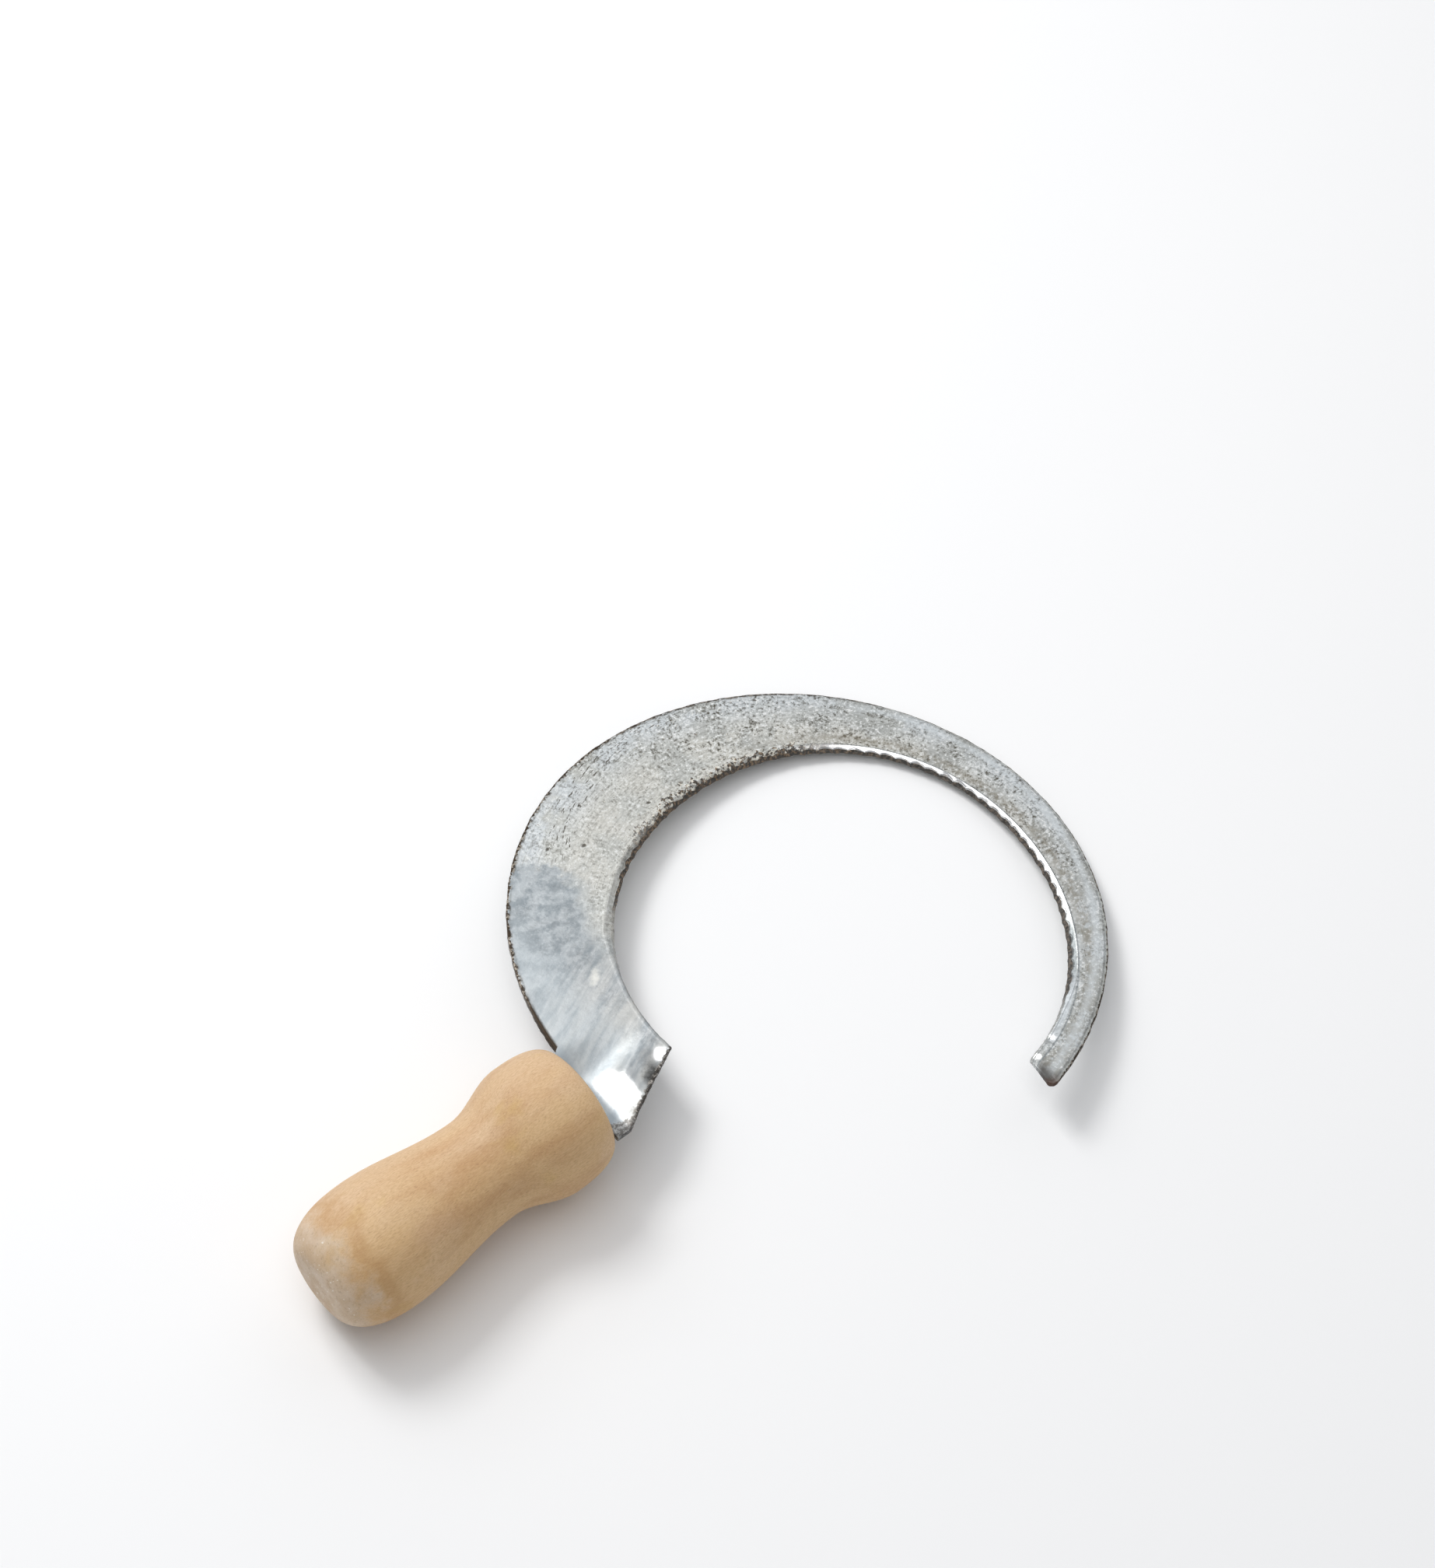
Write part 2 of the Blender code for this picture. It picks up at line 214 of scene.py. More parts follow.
class Look:
    """Adds nodes to a material, linking any input that is another node's output."""

    def __init__(self, name):
        self.material = bpy.data.materials.new(name)
        self.material.use_nodes = True
        self.tree = self.material.node_tree
        self.surface = self.tree.nodes["Principled BSDF"]

    def add(self, kind, inputs=(), output=0, **settings):
        node = self.tree.nodes.new(kind)
        for name, value in settings.items():
            setattr(node, name, value)
        for socket, value in dict(inputs).items():
            self.put(node.inputs[socket], value)
        return node.outputs[output]

    def put(self, socket, value):
        if isinstance(value, bpy.types.NodeSocket):
            self.tree.links.new(value, socket)
        else:
            socket.default_value = value

    def set(self, name, value):
        self.put(self.surface.inputs[name], value)

    def math(self, operation, first, second=0.0, clamp=False):
        return self.add(
            "ShaderNodeMath", {0: first, 1: second}, operation=operation, use_clamp=clamp
        )

    def times(self, first, *others):
        for other in others:
            first = self.math("MULTIPLY", first, other)
        return first

    def plus(self, first, *others):
        for other in others:
            first = self.math("ADD", first, other)
        return first

    def less(self, first, second):
        return self.math("SUBTRACT", first, second)

    def most(self, first, second):
        return self.math("MAXIMUM", first, second)

    def part(self, vector, number):
        return self.add("ShaderNodeSeparateXYZ", {0: vector}, output=number)

    def stretched(self, first, second, scales):
        """A flat place, with each of its two parts scaled by its own amount."""
        parts = {0: self.times(first, scales[0]), 1: self.times(second, scales[1])}
        return self.add("ShaderNodeCombineXYZ", parts)

    def length(self, first, second):
        """Length of the flat vector that has these two parts."""
        vector = self.add("ShaderNodeCombineXYZ", {0: first, 1: second})
        return self.add(
            "ShaderNodeVectorMath", {0: vector}, output="Value", operation="LENGTH"
        )

    def ramp(self, value, low, high, start=0.0, end=1.0, smooth=True):
        """value from low to high, eased, becomes start to end."""
        return self.add(
            "ShaderNodeMapRange",
            {"Value": value, "From Min": low, "From Max": high, "To Min": start, "To Max": end},
            interpolation_type="SMOOTHSTEP" if smooth else "LINEAR",
        )

    def band(self, value, low, high, soft):
        """1 where value lies between low and high, fading over soft on both sides."""
        rising = self.ramp(value, low - soft, low + soft)
        falling = self.ramp(value, high - soft, high + soft, 1.0, 0.0)
        return self.times(rising, falling)

    def jitter(self, texture, reach):
        """A noise texture as unevenness, up to reach either way."""
        return self.ramp(texture, 0.3, 0.7, -reach, reach, False)

    def mix(self, factor, first, second):
        """Each tone is a node's output, or a displayed (red, green, blue)."""
        first, second = (
            linear(*tone) if isinstance(tone, tuple) else tone for tone in (first, second)
        )
        return self.add(
            "ShaderNodeMix", {0: factor, 6: first, 7: second}, output=2, data_type="RGBA"
        )

    def over(self, tone, colour, *masks):
        """A colour laid over a tone, as strongly as all the masks multiplied."""
        return self.mix(self.times(*masks), tone, colour)

    def scaled(self, vector, scale, turn=(0.0, 0.0, 0.0)):
        return self.add(
            "ShaderNodeMapping", {"Vector": vector, "Scale": scale, "Rotation": turn}
        )

    def noise(self, vector, scale, detail, roughness=0.55):
        inputs = {"Vector": vector, "Scale": scale, "Detail": detail, "Roughness": roughness}
        return self.add("ShaderNodeTexNoise", inputs)

    def bump(self, height, distance, strength):
        inputs = {"Height": height, "Distance": distance, "Strength": strength}
        return self.add("ShaderNodeBump", inputs)


# ---------------------------------------------------------------- blade


def back_radius(angle):
    return BACK_RADIUS + BACK_WAVE * np.cos(WAVES_PER_TURN * (angle - BACK_WAVE_PHASE))


def edge_radius(angle):
    return EDGE_RADIUS + EDGE_WAVE * np.cos(WAVES_PER_TURN * (angle - EDGE_WAVE_PHASE))


def rays(angle):
    return np.stack((np.cos(angle), np.sin(angle)), axis=-1)


def edge_share(angle):
    """Share of the way from heel to tip at an angle of the cutting edge."""
    return (HEEL_EDGE_ANGLE - angle) / (HEEL_EDGE_ANGLE - TIP_EDGE_ANGLE)


def handle_axis():
    """Sideways place and height of the handle's axis."""
    low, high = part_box("handle")
    return (low.y + high.y) / 2, (low.z + high.z) / 2


def circle_centre():
    """Centre of the blade's back circle, at the height of the handle's axis."""
    return Vector((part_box("handle")[1].x + HEAD_FACE_FROM_CENTRE, *handle_axis()))


def plate_frame():
    """Places the plate: +Z is its upper normal and +X runs as near the handle's axis as it can."""
    fall = Vector((cos(FALL_DIRECTION), sin(FALL_DIRECTION), 0))
    normal = sin(PLATE_SLOPE) * fall + cos(PLATE_SLOPE) * Vector((0, 0, 1))
    along = Vector((1, 0, 0)) - normal.x * normal
    along.normalize()
    axes = Matrix((along, normal.cross(along), normal)).transposed().to_4x4()
    height = back_radius(FALL_DIRECTION) * sin(PLATE_SLOPE) + HALF_PLATE * cos(PLATE_SLOPE)
    centre = circle_centre()
    return Matrix.Translation((centre.x, centre.y + BLADE_SIDE_OFFSET, height)) @ axes


def joggle(x, y):
    """How far the heel is set down below the plate's plane, so that the tang meets the axis."""
    blend = fade(y, *BEND_BLEND)
    start, length = (low + (high - low) * blend for low, high in zip(GENTLE_BEND, SHARP_BEND))
    return JOGGLE_DROP * smoothstep((start - x) / length) * fade(y, *JOGGLE_FADE)


def station_shares():
    """Shares of the way from heel to tip: crowded at both ends, and a fixed number for each tooth."""
    teeth_start, teeth_end = edge_share(TEETH_TO), edge_share(TEETH_FROM)
    round_share = TIP_CORNER_RADIUS / EDGE_ARC
    heel = [place / EDGE_ARC for place in ROUNDING_PLACES]
    heel += list(np.linspace(2 * ROUNDING / EDGE_ARC, teeth_start, HEEL_STATIONS, endpoint=False))
    count = tooth_count() * TOOTH_STEPS
    teeth = list(np.linspace(teeth_start, teeth_end, count, endpoint=False))
    tip = list(np.linspace(teeth_end, 1 - round_share, TIP_STATIONS, endpoint=False))
    turns = np.linspace(0, pi / 2, TIP_ROUND_STATIONS + 1)
    tip += list(1 - round_share + round_share * np.sin(turns))
    return np.array(heel + teeth + tip), round_share


def tooth_count():
    return round(EDGE_RADIUS * (TEETH_TO - TEETH_FROM) / TOOTH_PITCH)


def tooth_phase(share):
    """Counts teeth along the edge; whole numbers are the points of the teeth."""
    start, end = edge_share(TEETH_TO), edge_share(TEETH_FROM)
    return (share - start) / (end - start) * tooth_count()


def gullets(share, random):
    """How deep the gullets are along the edge, 0 to 1, with each tooth a little different."""
    phase = tooth_phase(share)
    inside = (phase > 0) & (phase < tooth_count())
    which = np.clip(np.floor(phase).astype(int), 0, tooth_count() - 1)
    depth = random.uniform(*GULLET_DEPTHS, tooth_count())[which]
    lean = random.uniform(*GULLET_LEANS, tooth_count())[which]
    within = np.clip(phase - np.floor(phase), 0, 1) ** lean
    return np.where(inside, depth * np.abs(np.sin(np.pi * within)) ** GULLET_ROUNDNESS, 0.0)


def round_off(distance):
    """Height lost at a distance from a rounded corner."""
    short = np.clip(ROUNDING - distance, 0, ROUNDING)
    return ROUNDING - np.sqrt(ROUNDING**2 - short**2)


# Hammer dents in the upper face: (plate x, plate y, radius, depth).
DENTS = (
    (-0.0716, -0.0106, 0.0050, 0.00120),
    (0.0220, -0.0811, 0.0026, 0.00065),
    (0.0307, -0.0786, 0.0024, 0.00060),
)


def dents(x, y):
    drop = np.zeros_like(x)
    for centre_x, centre_y, radius, depth in DENTS:
        reach = np.hypot(x - centre_x, y - centre_y) / radius
        drop += depth * np.where(reach < 1, (1 + np.cos(np.pi * np.clip(reach, 0, 1))) / 2, 0)
    return drop


def field(points, fineness, offset):
    """Smooth noise from -1 to 1 at each point."""
    flat = points.reshape(-1, 3) * fineness + offset
    values = [noise.noise(Vector(point)) for point in flat]
    return np.array(values).reshape(points.shape[:-1])


def swells(points, waves):
    return sum(height * field(points, fineness, offset) for height, fineness, offset in waves)


def keenness(share):
    """Full where the blade is ground for cutting, less towards the heel and the tip."""
    heel = smoothstep((share - HEEL_BLUNT_TO + BLUNT_FADE) / BLUNT_FADE)
    tip = 1 - smoothstep((share - TIP_BLUNT_FROM) / BLUNT_FADE)
    return BLUNT_SHARE + (1 - BLUNT_SHARE) * heel * tip


def outline():
    """Stations along the blade: where each starts on the edge, which way it runs, how wide it is."""
    shares, round_share = station_shares()
    edge_angle = HEEL_EDGE_ANGLE + (TIP_EDGE_ANGLE - HEEL_EDGE_ANGLE) * shares
    back_angle = HEEL_BACK_ANGLE + (TIP_BACK_ANGLE - HEEL_BACK_ANGLE) * shares
    edge = EDGE_CENTRE + edge_radius(edge_angle)[:, None] * rays(edge_angle)
    back = back_radius(back_angle)[:, None] * rays(back_angle)
    across = (back - edge) / np.linalg.norm(back - edge, axis=1)[:, None]
    into_round = np.clip((shares - (1 - round_share)) / round_share, 0, 1)
    corner = 1 - np.sqrt(1 - into_round**2)
    edge = edge + across * (TIP_EDGE_CORNER * corner)[:, None]
    back = back - across * (TIP_CORNER_RADIUS * corner)[:, None]
    width = np.linalg.norm(back - edge, axis=1)
    return SimpleNamespace(
        shares=shares, edge=edge, across=across, width=width, angle=back_angle, keen=keenness(shares)
    )


def spread(line, inset):
    """Distances from the edge of the rows across the blade, and their points in the plate."""
    bevel = BEVEL_WIDTH * line.keen
    places = [inset + place for place in ROUNDING_PLACES]
    for start, reach, rows in (
        (inset + ROUNDING, bevel - (inset + ROUNDING), BEVEL_ROWS),
        (bevel, line.width - bevel - RIM_WIDTH, FACE_ROWS),
        (line.width - RIM_WIDTH, RIM_WIDTH - ROUNDING, RIM_ROWS),
    ):
        places += [start + reach * row / rows for row in range(1, rows + 1)]
    places += [line.width - place for place in reversed(ROUNDING_PLACES[:-1])]
    place = np.stack(places, axis=1)
    plan = line.edge[:, None, :] + line.across[:, None, :] * place[..., None]
    return place, plan[..., 0], plan[..., 1]


def blade_side(line, inset):
    """What both faces need at each of their points: places, and the way to the nearest outline."""
    place, x, y = spread(line, inset)
    run = line.shares[:, None] * EDGE_ARC * np.ones_like(place)
    from_back = line.width[:, None] - place
    from_end = np.minimum(run, (1 - line.shares[:, None]) * EDGE_ARC)
    from_edge = place - inset[:, None]
    in_neck = (line.angle > SHOULDER_BACK_ANGLE)[:, None]
    near_back = np.where(in_neck, FAR_AWAY, from_back)
    nearest = np.minimum(np.minimum(near_back, from_end), from_edge)
    into_neck = smoothstep((line.angle - SHOULDER_BACK_ANGLE) / NECK_FADE)[:, None]
    return SimpleNamespace(
        x=x, y=y, run=run, place=place, rim=from_back + NO_BACK * into_neck,
        from_back=from_back, nearest=nearest, flat=np.stack((x, y, x * 0), -1),
        calm=smoothstep(from_edge / CALM_EDGE),
    )


def upper_side(line, random):
    """The face that is seen: ground bevel with filed gullets, crowned face, beaten rim."""
    gullet = gullets(line.shares, random) * line.keen**2
    side = blade_side(line, (EDGE_LAND + TOOTH_BITE * gullet) * line.keen)
    bevel = (BEVEL_WIDTH * line.keen)[:, None]
    ramp = np.clip(side.place / bevel, 0, 1)
    depth = (PLATE_THICKNESS - EDGE_THICKNESS) * line.keen[:, None]
    top = HALF_PLATE - depth * (1 - ramp)
    groove_fade = smoothstep((GROOVE_REACH - side.place) / GROOVE_REACH)
    top = top - FILE_GROOVE * gullet[:, None] * groove_fade
    middle = (side.place - bevel) / np.maximum(line.width[:, None] - bevel, SMALLEST_WIDTH)
    top = top - CROWN * np.clip(2 * middle - 1, -1, 1) ** 2 * (side.place > bevel)
    rim_fade = smoothstep((RIM_FROM_ANGLE - line.angle) / RIM_FADE)[:, None]
    top = top - RIM_DROP * smoothstep((RIM_WIDTH - side.from_back) / RIM_WIDTH) * rim_fade
    top = top - round_off(side.nearest)
    top = top + swells(side.flat, UPPER_WAVES) * side.calm
    top = top - dents(side.x, side.y) - joggle(side.x, side.y)
    side.points = np.stack((side.x, side.y, top), -1)
    side.points[..., :2] += ragged(side.points, side.nearest)
    return side, gullet


def lower_side(line, gullet):
    """The face that lies down: flat, with the gullets only nicking its edge."""
    side = blade_side(line, TOOTH_NICK * gullet * line.keen)
    base = -HALF_PLATE + np.minimum(round_off(side.nearest), PLATE_THICKNESS / 4)
    base = base - swells(side.flat, UNDERSIDE_WAVES) * side.calm - joggle(side.x, side.y)
    side.points = np.stack((side.x, side.y, base), -1)
    side.points[..., :2] += ragged(side.points, side.nearest)
    return side


def ragged(points, nearest):
    """Small sideways unevenness of the forged outline, fading away from it."""
    nearness = (1 - smoothstep(nearest / OUTLINE_REACH)).reshape(-1)
    at = points.reshape(-1, 3)
    shift = np.zeros((len(at), 2))
    for number in np.nonzero(nearness > FAINTEST)[0]:
        for height, fineness in OUTLINE_WAVES:
            wave = noise.noise_vector(Vector(at[number]) * fineness)
            shift[number] += nearness[number] * height * np.array(wave.xy)
    return shift.reshape(points.shape[:-1] + (2,))


def tang_roll():
    """Turn of the tang about the handle's axis: it keeps the plate's sideways slope."""
    return -atan(tan(PLATE_SLOPE) * sin(FALL_DIRECTION))


def tang_width(fraction):
    return TANG_ROOT_WIDTH + (TANG_END_WIDTH - TANG_ROOT_WIDTH) * fraction


def neck_rows(back_upper, back_lower, column_share, to_plate):
    """Rows of (upper, lower) points from the blade's back to the shoulder, then along the tang."""
    axis_y, axis_z = handle_axis()
    face_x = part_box("handle")[1].x
    rows = []
    sides = SHOULDER_LOW_Y + (SHOULDER_HIGH_Y - SHOULDER_LOW_Y) * column_share
    for step in range(1, NECK_ROWS + 1):
        blend = step / NECK_ROWS
        upper, lower = [], []
        for start, under, side in zip(back_upper, back_lower, sides):
            shoulder = to_plate @ Vector((face_x + SHOULDER_GAP, axis_y + side, axis_z))
            x = start[0] + (shoulder.x - start[0]) * blend
            y = start[1] + (shoulder.y - start[1]) * blend
            drop = joggle(x, y) - joggle(start[0], start[1])
            upper.append((x, y, start[2] - drop))
            lower.append((x, y, under[2] - drop))
        rows.append((upper, lower))
    roll = tang_roll()
    sideways = Vector((0, cos(roll), sin(roll)))
    upwards = Vector((0, -sin(roll), cos(roll))) * HALF_PLATE
    for step in range(TANG_ROWS + 1):
        fraction = step / TANG_ROWS
        centre = Vector((face_x - TANG_LENGTH * fraction, axis_y, axis_z))
        middles = [centre + sideways * side for side in tang_width(fraction) * (column_share - 0.5)]
        rows.append([[to_plate @ (middle + half) for middle in middles] for half in (upwards, -upwards)])
    return rows


def grid_faces(index):
    """Quads over a 2-D array of vertex numbers."""
    first, second = index[:-1, :-1], index[:-1, 1:]
    third, fourth = index[1:, 1:], index[1:, :-1]
    return np.stack((first, second, third, fourth), -1).reshape(-1, 4).tolist()


def strip(first, second):
    return grid_faces(np.stack((np.asarray(first), np.asarray(second))))


def new_object(name, points, faces):
    mesh = bpy.data.meshes.new(name)
    mesh.from_pydata([tuple(point) for point in points], [], faces)
    obj = bpy.data.objects.new(name, mesh)
    bpy.context.scene.collection.objects.link(obj)
    return obj


def finish_mesh(obj, material):
    work = bmesh.new()
    work.from_mesh(obj.data)
    bmesh.ops.recalc_face_normals(work, faces=work.faces)
    work.to_mesh(obj.data)
    work.free()
    obj.data.materials.clear()
    obj.data.materials.append(material)
    obj.data.shade_smooth()
    obj.data.set_sharp_from_angle(angle=SHARP_ANGLE)


def add_uv(obj, name, pairs):
    """A UV map whose value at each vertex is the pair given for it."""
    layer = obj.data.uv_layers.new(name=name)
    corners = np.empty(len(obj.data.loops), np.int32)
    obj.data.loops.foreach_get("vertex_index", corners)
    layer.data.foreach_set("uv", np.asarray(pairs, np.float32)[corners].reshape(-1))


def build_blade(material):
    noise.seed_set(OUTLINE_SEED)
    line = outline()
    above, gullet = upper_side(line, np.random.default_rng(TOOTH_SEED))
    below = lower_side(line, gullet)
    columns = int((line.angle > SHOULDER_BACK_ANGLE).sum())
    stations, rows = above.place.shape
    top = np.arange(stations * rows).reshape(stations, rows)
    bottom = top + stations * rows
    points, lies, rims = [], [], []
    for side in (above, below):
        points += list(side.points.reshape(-1, 3))
        if side is below:
            side.place[:, 0] -= WALL_MARK
        lies += list(np.stack((side.run, side.place), -1).reshape(-1, 2))
        rims += list(np.stack((side.rim, side.run), -1).reshape(-1, 2))
    faces = grid_faces(top) + grid_faces(bottom[:, ::-1])
    faces += strip(bottom[:, 0], top[:, 0])
    faces += strip(top[columns - 1 :, -1], bottom[columns - 1 :, -1])
    faces += strip(top[0], bottom[0])
    faces += strip(bottom[-1], top[-1])

    frame_matrix = plate_frame()
    run, place, rim = (values[:columns, -1] for values in (above.run, above.place, above.rim))
    backs = (above.points[:columns, -1], below.points[:columns, -1])
    neck = neck_rows(*backs, run / run[-1], frame_matrix.inverted())
    top_rows, bottom_rows = [top[:columns, -1]], [bottom[:columns, -1]]
    for number, pair in enumerate(neck, 1):
        for row, kept in zip(pair, (top_rows, bottom_rows)):
            kept.append(np.arange(len(points), len(points) + columns))
            points += row
            lies += list(np.stack((run, place + number * NECK_ROW_STEP), -1))
            rims += list(np.stack((rim, run), -1))
    faces += grid_faces(np.stack(top_rows)) + grid_faces(np.stack(bottom_rows)[:, ::-1])
    faces += strip([row[0] for row in top_rows], [row[0] for row in bottom_rows])
    faces += strip([row[-1] for row in bottom_rows], [row[-1] for row in top_rows])
    faces += strip(top_rows[-1], bottom_rows[-1])

    blade = new_object("forged_blade", points, faces)
    blade.data.transform(frame_matrix)
    finish_mesh(blade, material)
    add_uv(blade, "lie", lies)
    add_uv(blade, "rim", rims)
    return blade


# ---------------------------------------------------------------- handle


def rounded_end(face, bulge, power):
    """(share of the way in, radius) at each station of a rounded end, from its face to the bulge."""
    stations = []
    for step in range(END_STATIONS + 1):
        fraction = 1 - cos(step / END_STATIONS * pi / 2)
        rise = (1 - (1 - fraction) ** power) ** (1 / power)
        stations.append((fraction, face + (bulge - face) * rise))
    return stations


def handle_profile():
    """(radius, station) pairs from the butt's centre to the head's centre."""
    points = [(BUTT_FACE_RADIUS * ring / CAP_RINGS, 0.0) for ring in range(1, CAP_RINGS)]
    butt = rounded_end(BUTT_FACE_RADIUS, BUTT_BULGE_RADIUS, BUTT_ROUNDING)
    points += [(radius, BUTT_BULGE_AT * fraction) for fraction, radius in butt[:-1]]
    curves = (
        (BUTT_BULGE_RADIUS, BUTT_BULGE_AT, WAIST_RADIUS, WAIST_AT),
        (WAIST_RADIUS, WAIST_AT, HEAD_BULGE_RADIUS, HEAD_BULGE_AT),
    )
    for radius_from, at_from, radius_to, at_to in curves:
        for step in range(SWELL_STATIONS):
            fraction = step / SWELL_STATIONS
            blend = (1 - cos(fraction * pi)) / 2
            radius = radius_from + (radius_to - radius_from) * blend
            points.append((radius, at_from + (at_to - at_from) * fraction))
    for fraction, radius in reversed(rounded_end(HEAD_FACE_RADIUS, HEAD_BULGE_RADIUS, HEAD_ROUNDING)):
        points.append((radius, HANDLE_LENGTH - (HANDLE_LENGTH - HEAD_BULGE_AT) * fraction))
    for ring in range(CAP_RINGS - 1, 0, -1):
        points.append((HEAD_FACE_RADIUS * ring / CAP_RINGS, HANDLE_LENGTH))
    return np.array(points)


def bore_box():
    """Tapered slot for the tang, as a closed box: its mouth runs past the head's face."""
    axis_y, axis_z = handle_axis()
    roll = Matrix.Rotation(tang_roll(), 3, "X")
    face_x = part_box("handle")[1].x
    deep = face_x - TANG_LENGTH - BORE_EXTRA_DEPTH
    points = []
    for x, width in ((deep, TANG_END_WIDTH), (face_x + BORE_OVERRUN, TANG_ROOT_WIDTH)):
        across = width / 2 + TANG_CLEARANCE
        through = HALF_PLATE + TANG_CLEARANCE
        for y, z in ((-across, -through), (across, -through), (across, through), (-across, through)):
            turned = roll @ Vector((0, y, z))
            points.append((x, axis_y + turned.y, axis_z + turned.z))
    faces = [(3, 2, 1, 0), (4, 5, 6, 7)]
    faces += [(n, (n + 1) % 4, (n + 1) % 4 + 4, n + 4) for n in range(4)]
    return new_object("bore_cutter", points, faces)


def cut_and_apply(obj, cutter):
    boolean = obj.modifiers.new("Cut", "BOOLEAN")
    boolean.operation = "DIFFERENCE"
    boolean.solver = "EXACT"
    boolean.object = cutter
    bpy.context.view_layer.update()
    graph = bpy.context.evaluated_depsgraph_get()
    obj.data = bpy.data.meshes.new_from_object(obj.evaluated_get(graph))
    obj.modifiers.clear()
    bpy.data.objects.remove(cutter, do_unlink=True)


def build_handle(material):
    low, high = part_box("handle")
    axis_y, axis_z = handle_axis()
    profile = handle_profile()
    turns = np.arange(HANDLE_SEGMENTS) * 2 * pi / HANDLE_SEGMENTS
    radius = profile[:, 0][:, None] * np.ones_like(turns)
    station = profile[:, 1][:, None] * np.ones_like(turns)
    around = np.stack((station, np.cos(turns) * radius, np.sin(turns) * radius), -1)
    bulk = np.clip(radius / WAIST_RADIUS, 0, 1) ** 2
    for height, fineness, offset, lengthwise in HANDLE_WAVES:
        wave = field(around * np.array((lengthwise, 1, 1)), fineness, offset)
        radius = radius + bulk * height * wave
    radius = radius + bulk * TURNING_RIDGE * np.sin(station * 2 * pi / TURNING_PITCH)
    points = np.stack(
        (low.x + station, axis_y + np.cos(turns) * radius, axis_z + np.sin(turns) * radius), -1
    )
    rings = len(profile)
    index = np.arange(rings * HANDLE_SEGMENTS).reshape(rings, HANDLE_SEGMENTS)
    faces = grid_faces(np.concatenate((index, index[:, :1]), axis=1))
    butt, head = rings * HANDLE_SEGMENTS, rings * HANDLE_SEGMENTS + 1
    all_points = [*points.reshape(-1, 3), (low.x, axis_y, axis_z), (high.x, axis_y, axis_z)]
    for segment in range(HANDLE_SEGMENTS):
        following = (segment + 1) % HANDLE_SEGMENTS
        faces.append((index[0, segment], index[0, following], butt))
        faces.append((index[-1, following], index[-1, segment], head))
    handle = new_object("turned_handle", all_points, faces)
    finish_mesh(handle, material)
    cut_and_apply(handle, bore_box())
    finish_mesh(handle, material)
    return handle


# ---------------------------------------------------------------- steel

# Places on the steel, in metres. "run" is the way along the edge from the heel, "place" is the distance
# from the edge and "rim" the distance from the back. A pair fades a look in, or out where it falls, a trio
# is a band with its softness, and of four the last two are the values at the first two.
BRUSH_DIRECTION = radians(25)
COOLER_BY_RIM = (0.004, 0.022)
DULLER_RUN = (0.07, 0.17)
GRIND_LINES = (110, 1500)
BLUE_END = (0.0, 0.0180, 0.0445, 0.0745)
BLUE_END_RISE = (0.0180, 0.038, 0.0, 0.0030)
BLUE_WANDER = 0.0030
BLUE_SOFTNESS = (0.010, 0.024, 0.0170, 0.0018)
MOTTLED_RUN = (0.030, 0.055)
BROAD_STREAK_RUN = (0.046, 0.020)
DENSER_SPECK_RUN = (0.09, 0.14)
THINNER_SPECK_RUN = (0.225, 0.275)
BRIGHT_SPECK_RUN = (0.09, 0.15)
DASH_SLANT = (0.06, 0.16, -0.0092, 0.0138)
DASH_SCALE = (300, 1150)
DASH_RUN = (0.078, 0.142, 0.006)
DASH_BAND = (0.0045, 0.0135, 0.001)
STAIN_PLACE = (0.0050, 0.0095, 0.0020)
STAIN_RUN = (0.12, 0.18)
SHEEN_RIM = (0.0028, 0.0055, 0.0012)
SHEEN_RUN = (0.15, 0.20)
WORN_RUN = 0.0350
WORN_PLACE = 0.0095
WORN_NARROWING = 1.7
WORN_WANDER = 0.0020
WORN_FADE = (0.0008, 0.0064)
BEVEL_RUN_IN = (0.144, 0.162)
BEVEL_RUN_OUT = (0.278, 0.250)
BEVEL_PLACE = (0.0010, BEVEL_WIDTH, 0.0002)
PALE_BEVEL_PLACE = (0.0008, 0.0030, 0.0004)
PALE_BEVEL_RUN = (0.268, 0.314, 0.008)
PALE_FROM_RUN = (0.286, 0.300)
BEVEL_LINE_PLACE = (BEVEL_WIDTH + 0.0002, BEVEL_WIDTH + 0.0005, 0.0003)
BEVEL_LINE_RUN = (0.140, 0.150)
FAR_SIDE_RUN = (0.165, 0.205)
BACK_LINE_RIM = (0.0011, 0.0014, 0.0004)
BACK_BAND_RIM = (0.0010, 0.0007)
FLECKED_RUN = (0.034, 0.048)
WALL_REACH = (0.045, 0.030, 0.00110, 0.00180)
CUT_WANDER = 0.0007
BESIDE_CUT_SHADE_RUN = (0.0060, 0.0008)
BESIDE_CUT_SHADE_PLACE = (0.0088, 0.0170, 0.0025)
CUT_RUN = (0.0012, 0.0004)
DULL_AND_SHADED_FROM_WOOD = (0.0072, 0.0046)
FACE_RIM = (0.0010, 0.0022)
UPPER_NECK_SIDE = (-0.0097, -0.0037)
UPPER_NECK_FROM_WOOD = (0.030, 0.018)
CORNER_SLANT = (-0.0185, -0.0235, 0.0080, -0.0040)
CORNER_WANDER = 0.002
CORNER_FROM_WOOD = (0.0060, 0.0035)
TIP_RUN = (0.3200, 0.3244)
TIP_PLACE = (0.0016, 0.0062)
TIP_RIM = (0.0028, 0.0004)
TIP_CUT_RUN = (0.3249, 0.3252)
# Painted shade along the teeth: its wander, place and run.
TOOTH_SHADE_WANDER = 0.00020
TOOTH_SHADE_PLACE = (0.0011, 0.0008)
TOOTH_SHADE_RUN = (0.056, 0.300, 0.006)
CRUST_RUN_IN = (0.062, 0.100)
CRUST_RUN_OUT = (0.172, 0.150)
CRUST_PLACE = (0.0010, 0.0080)
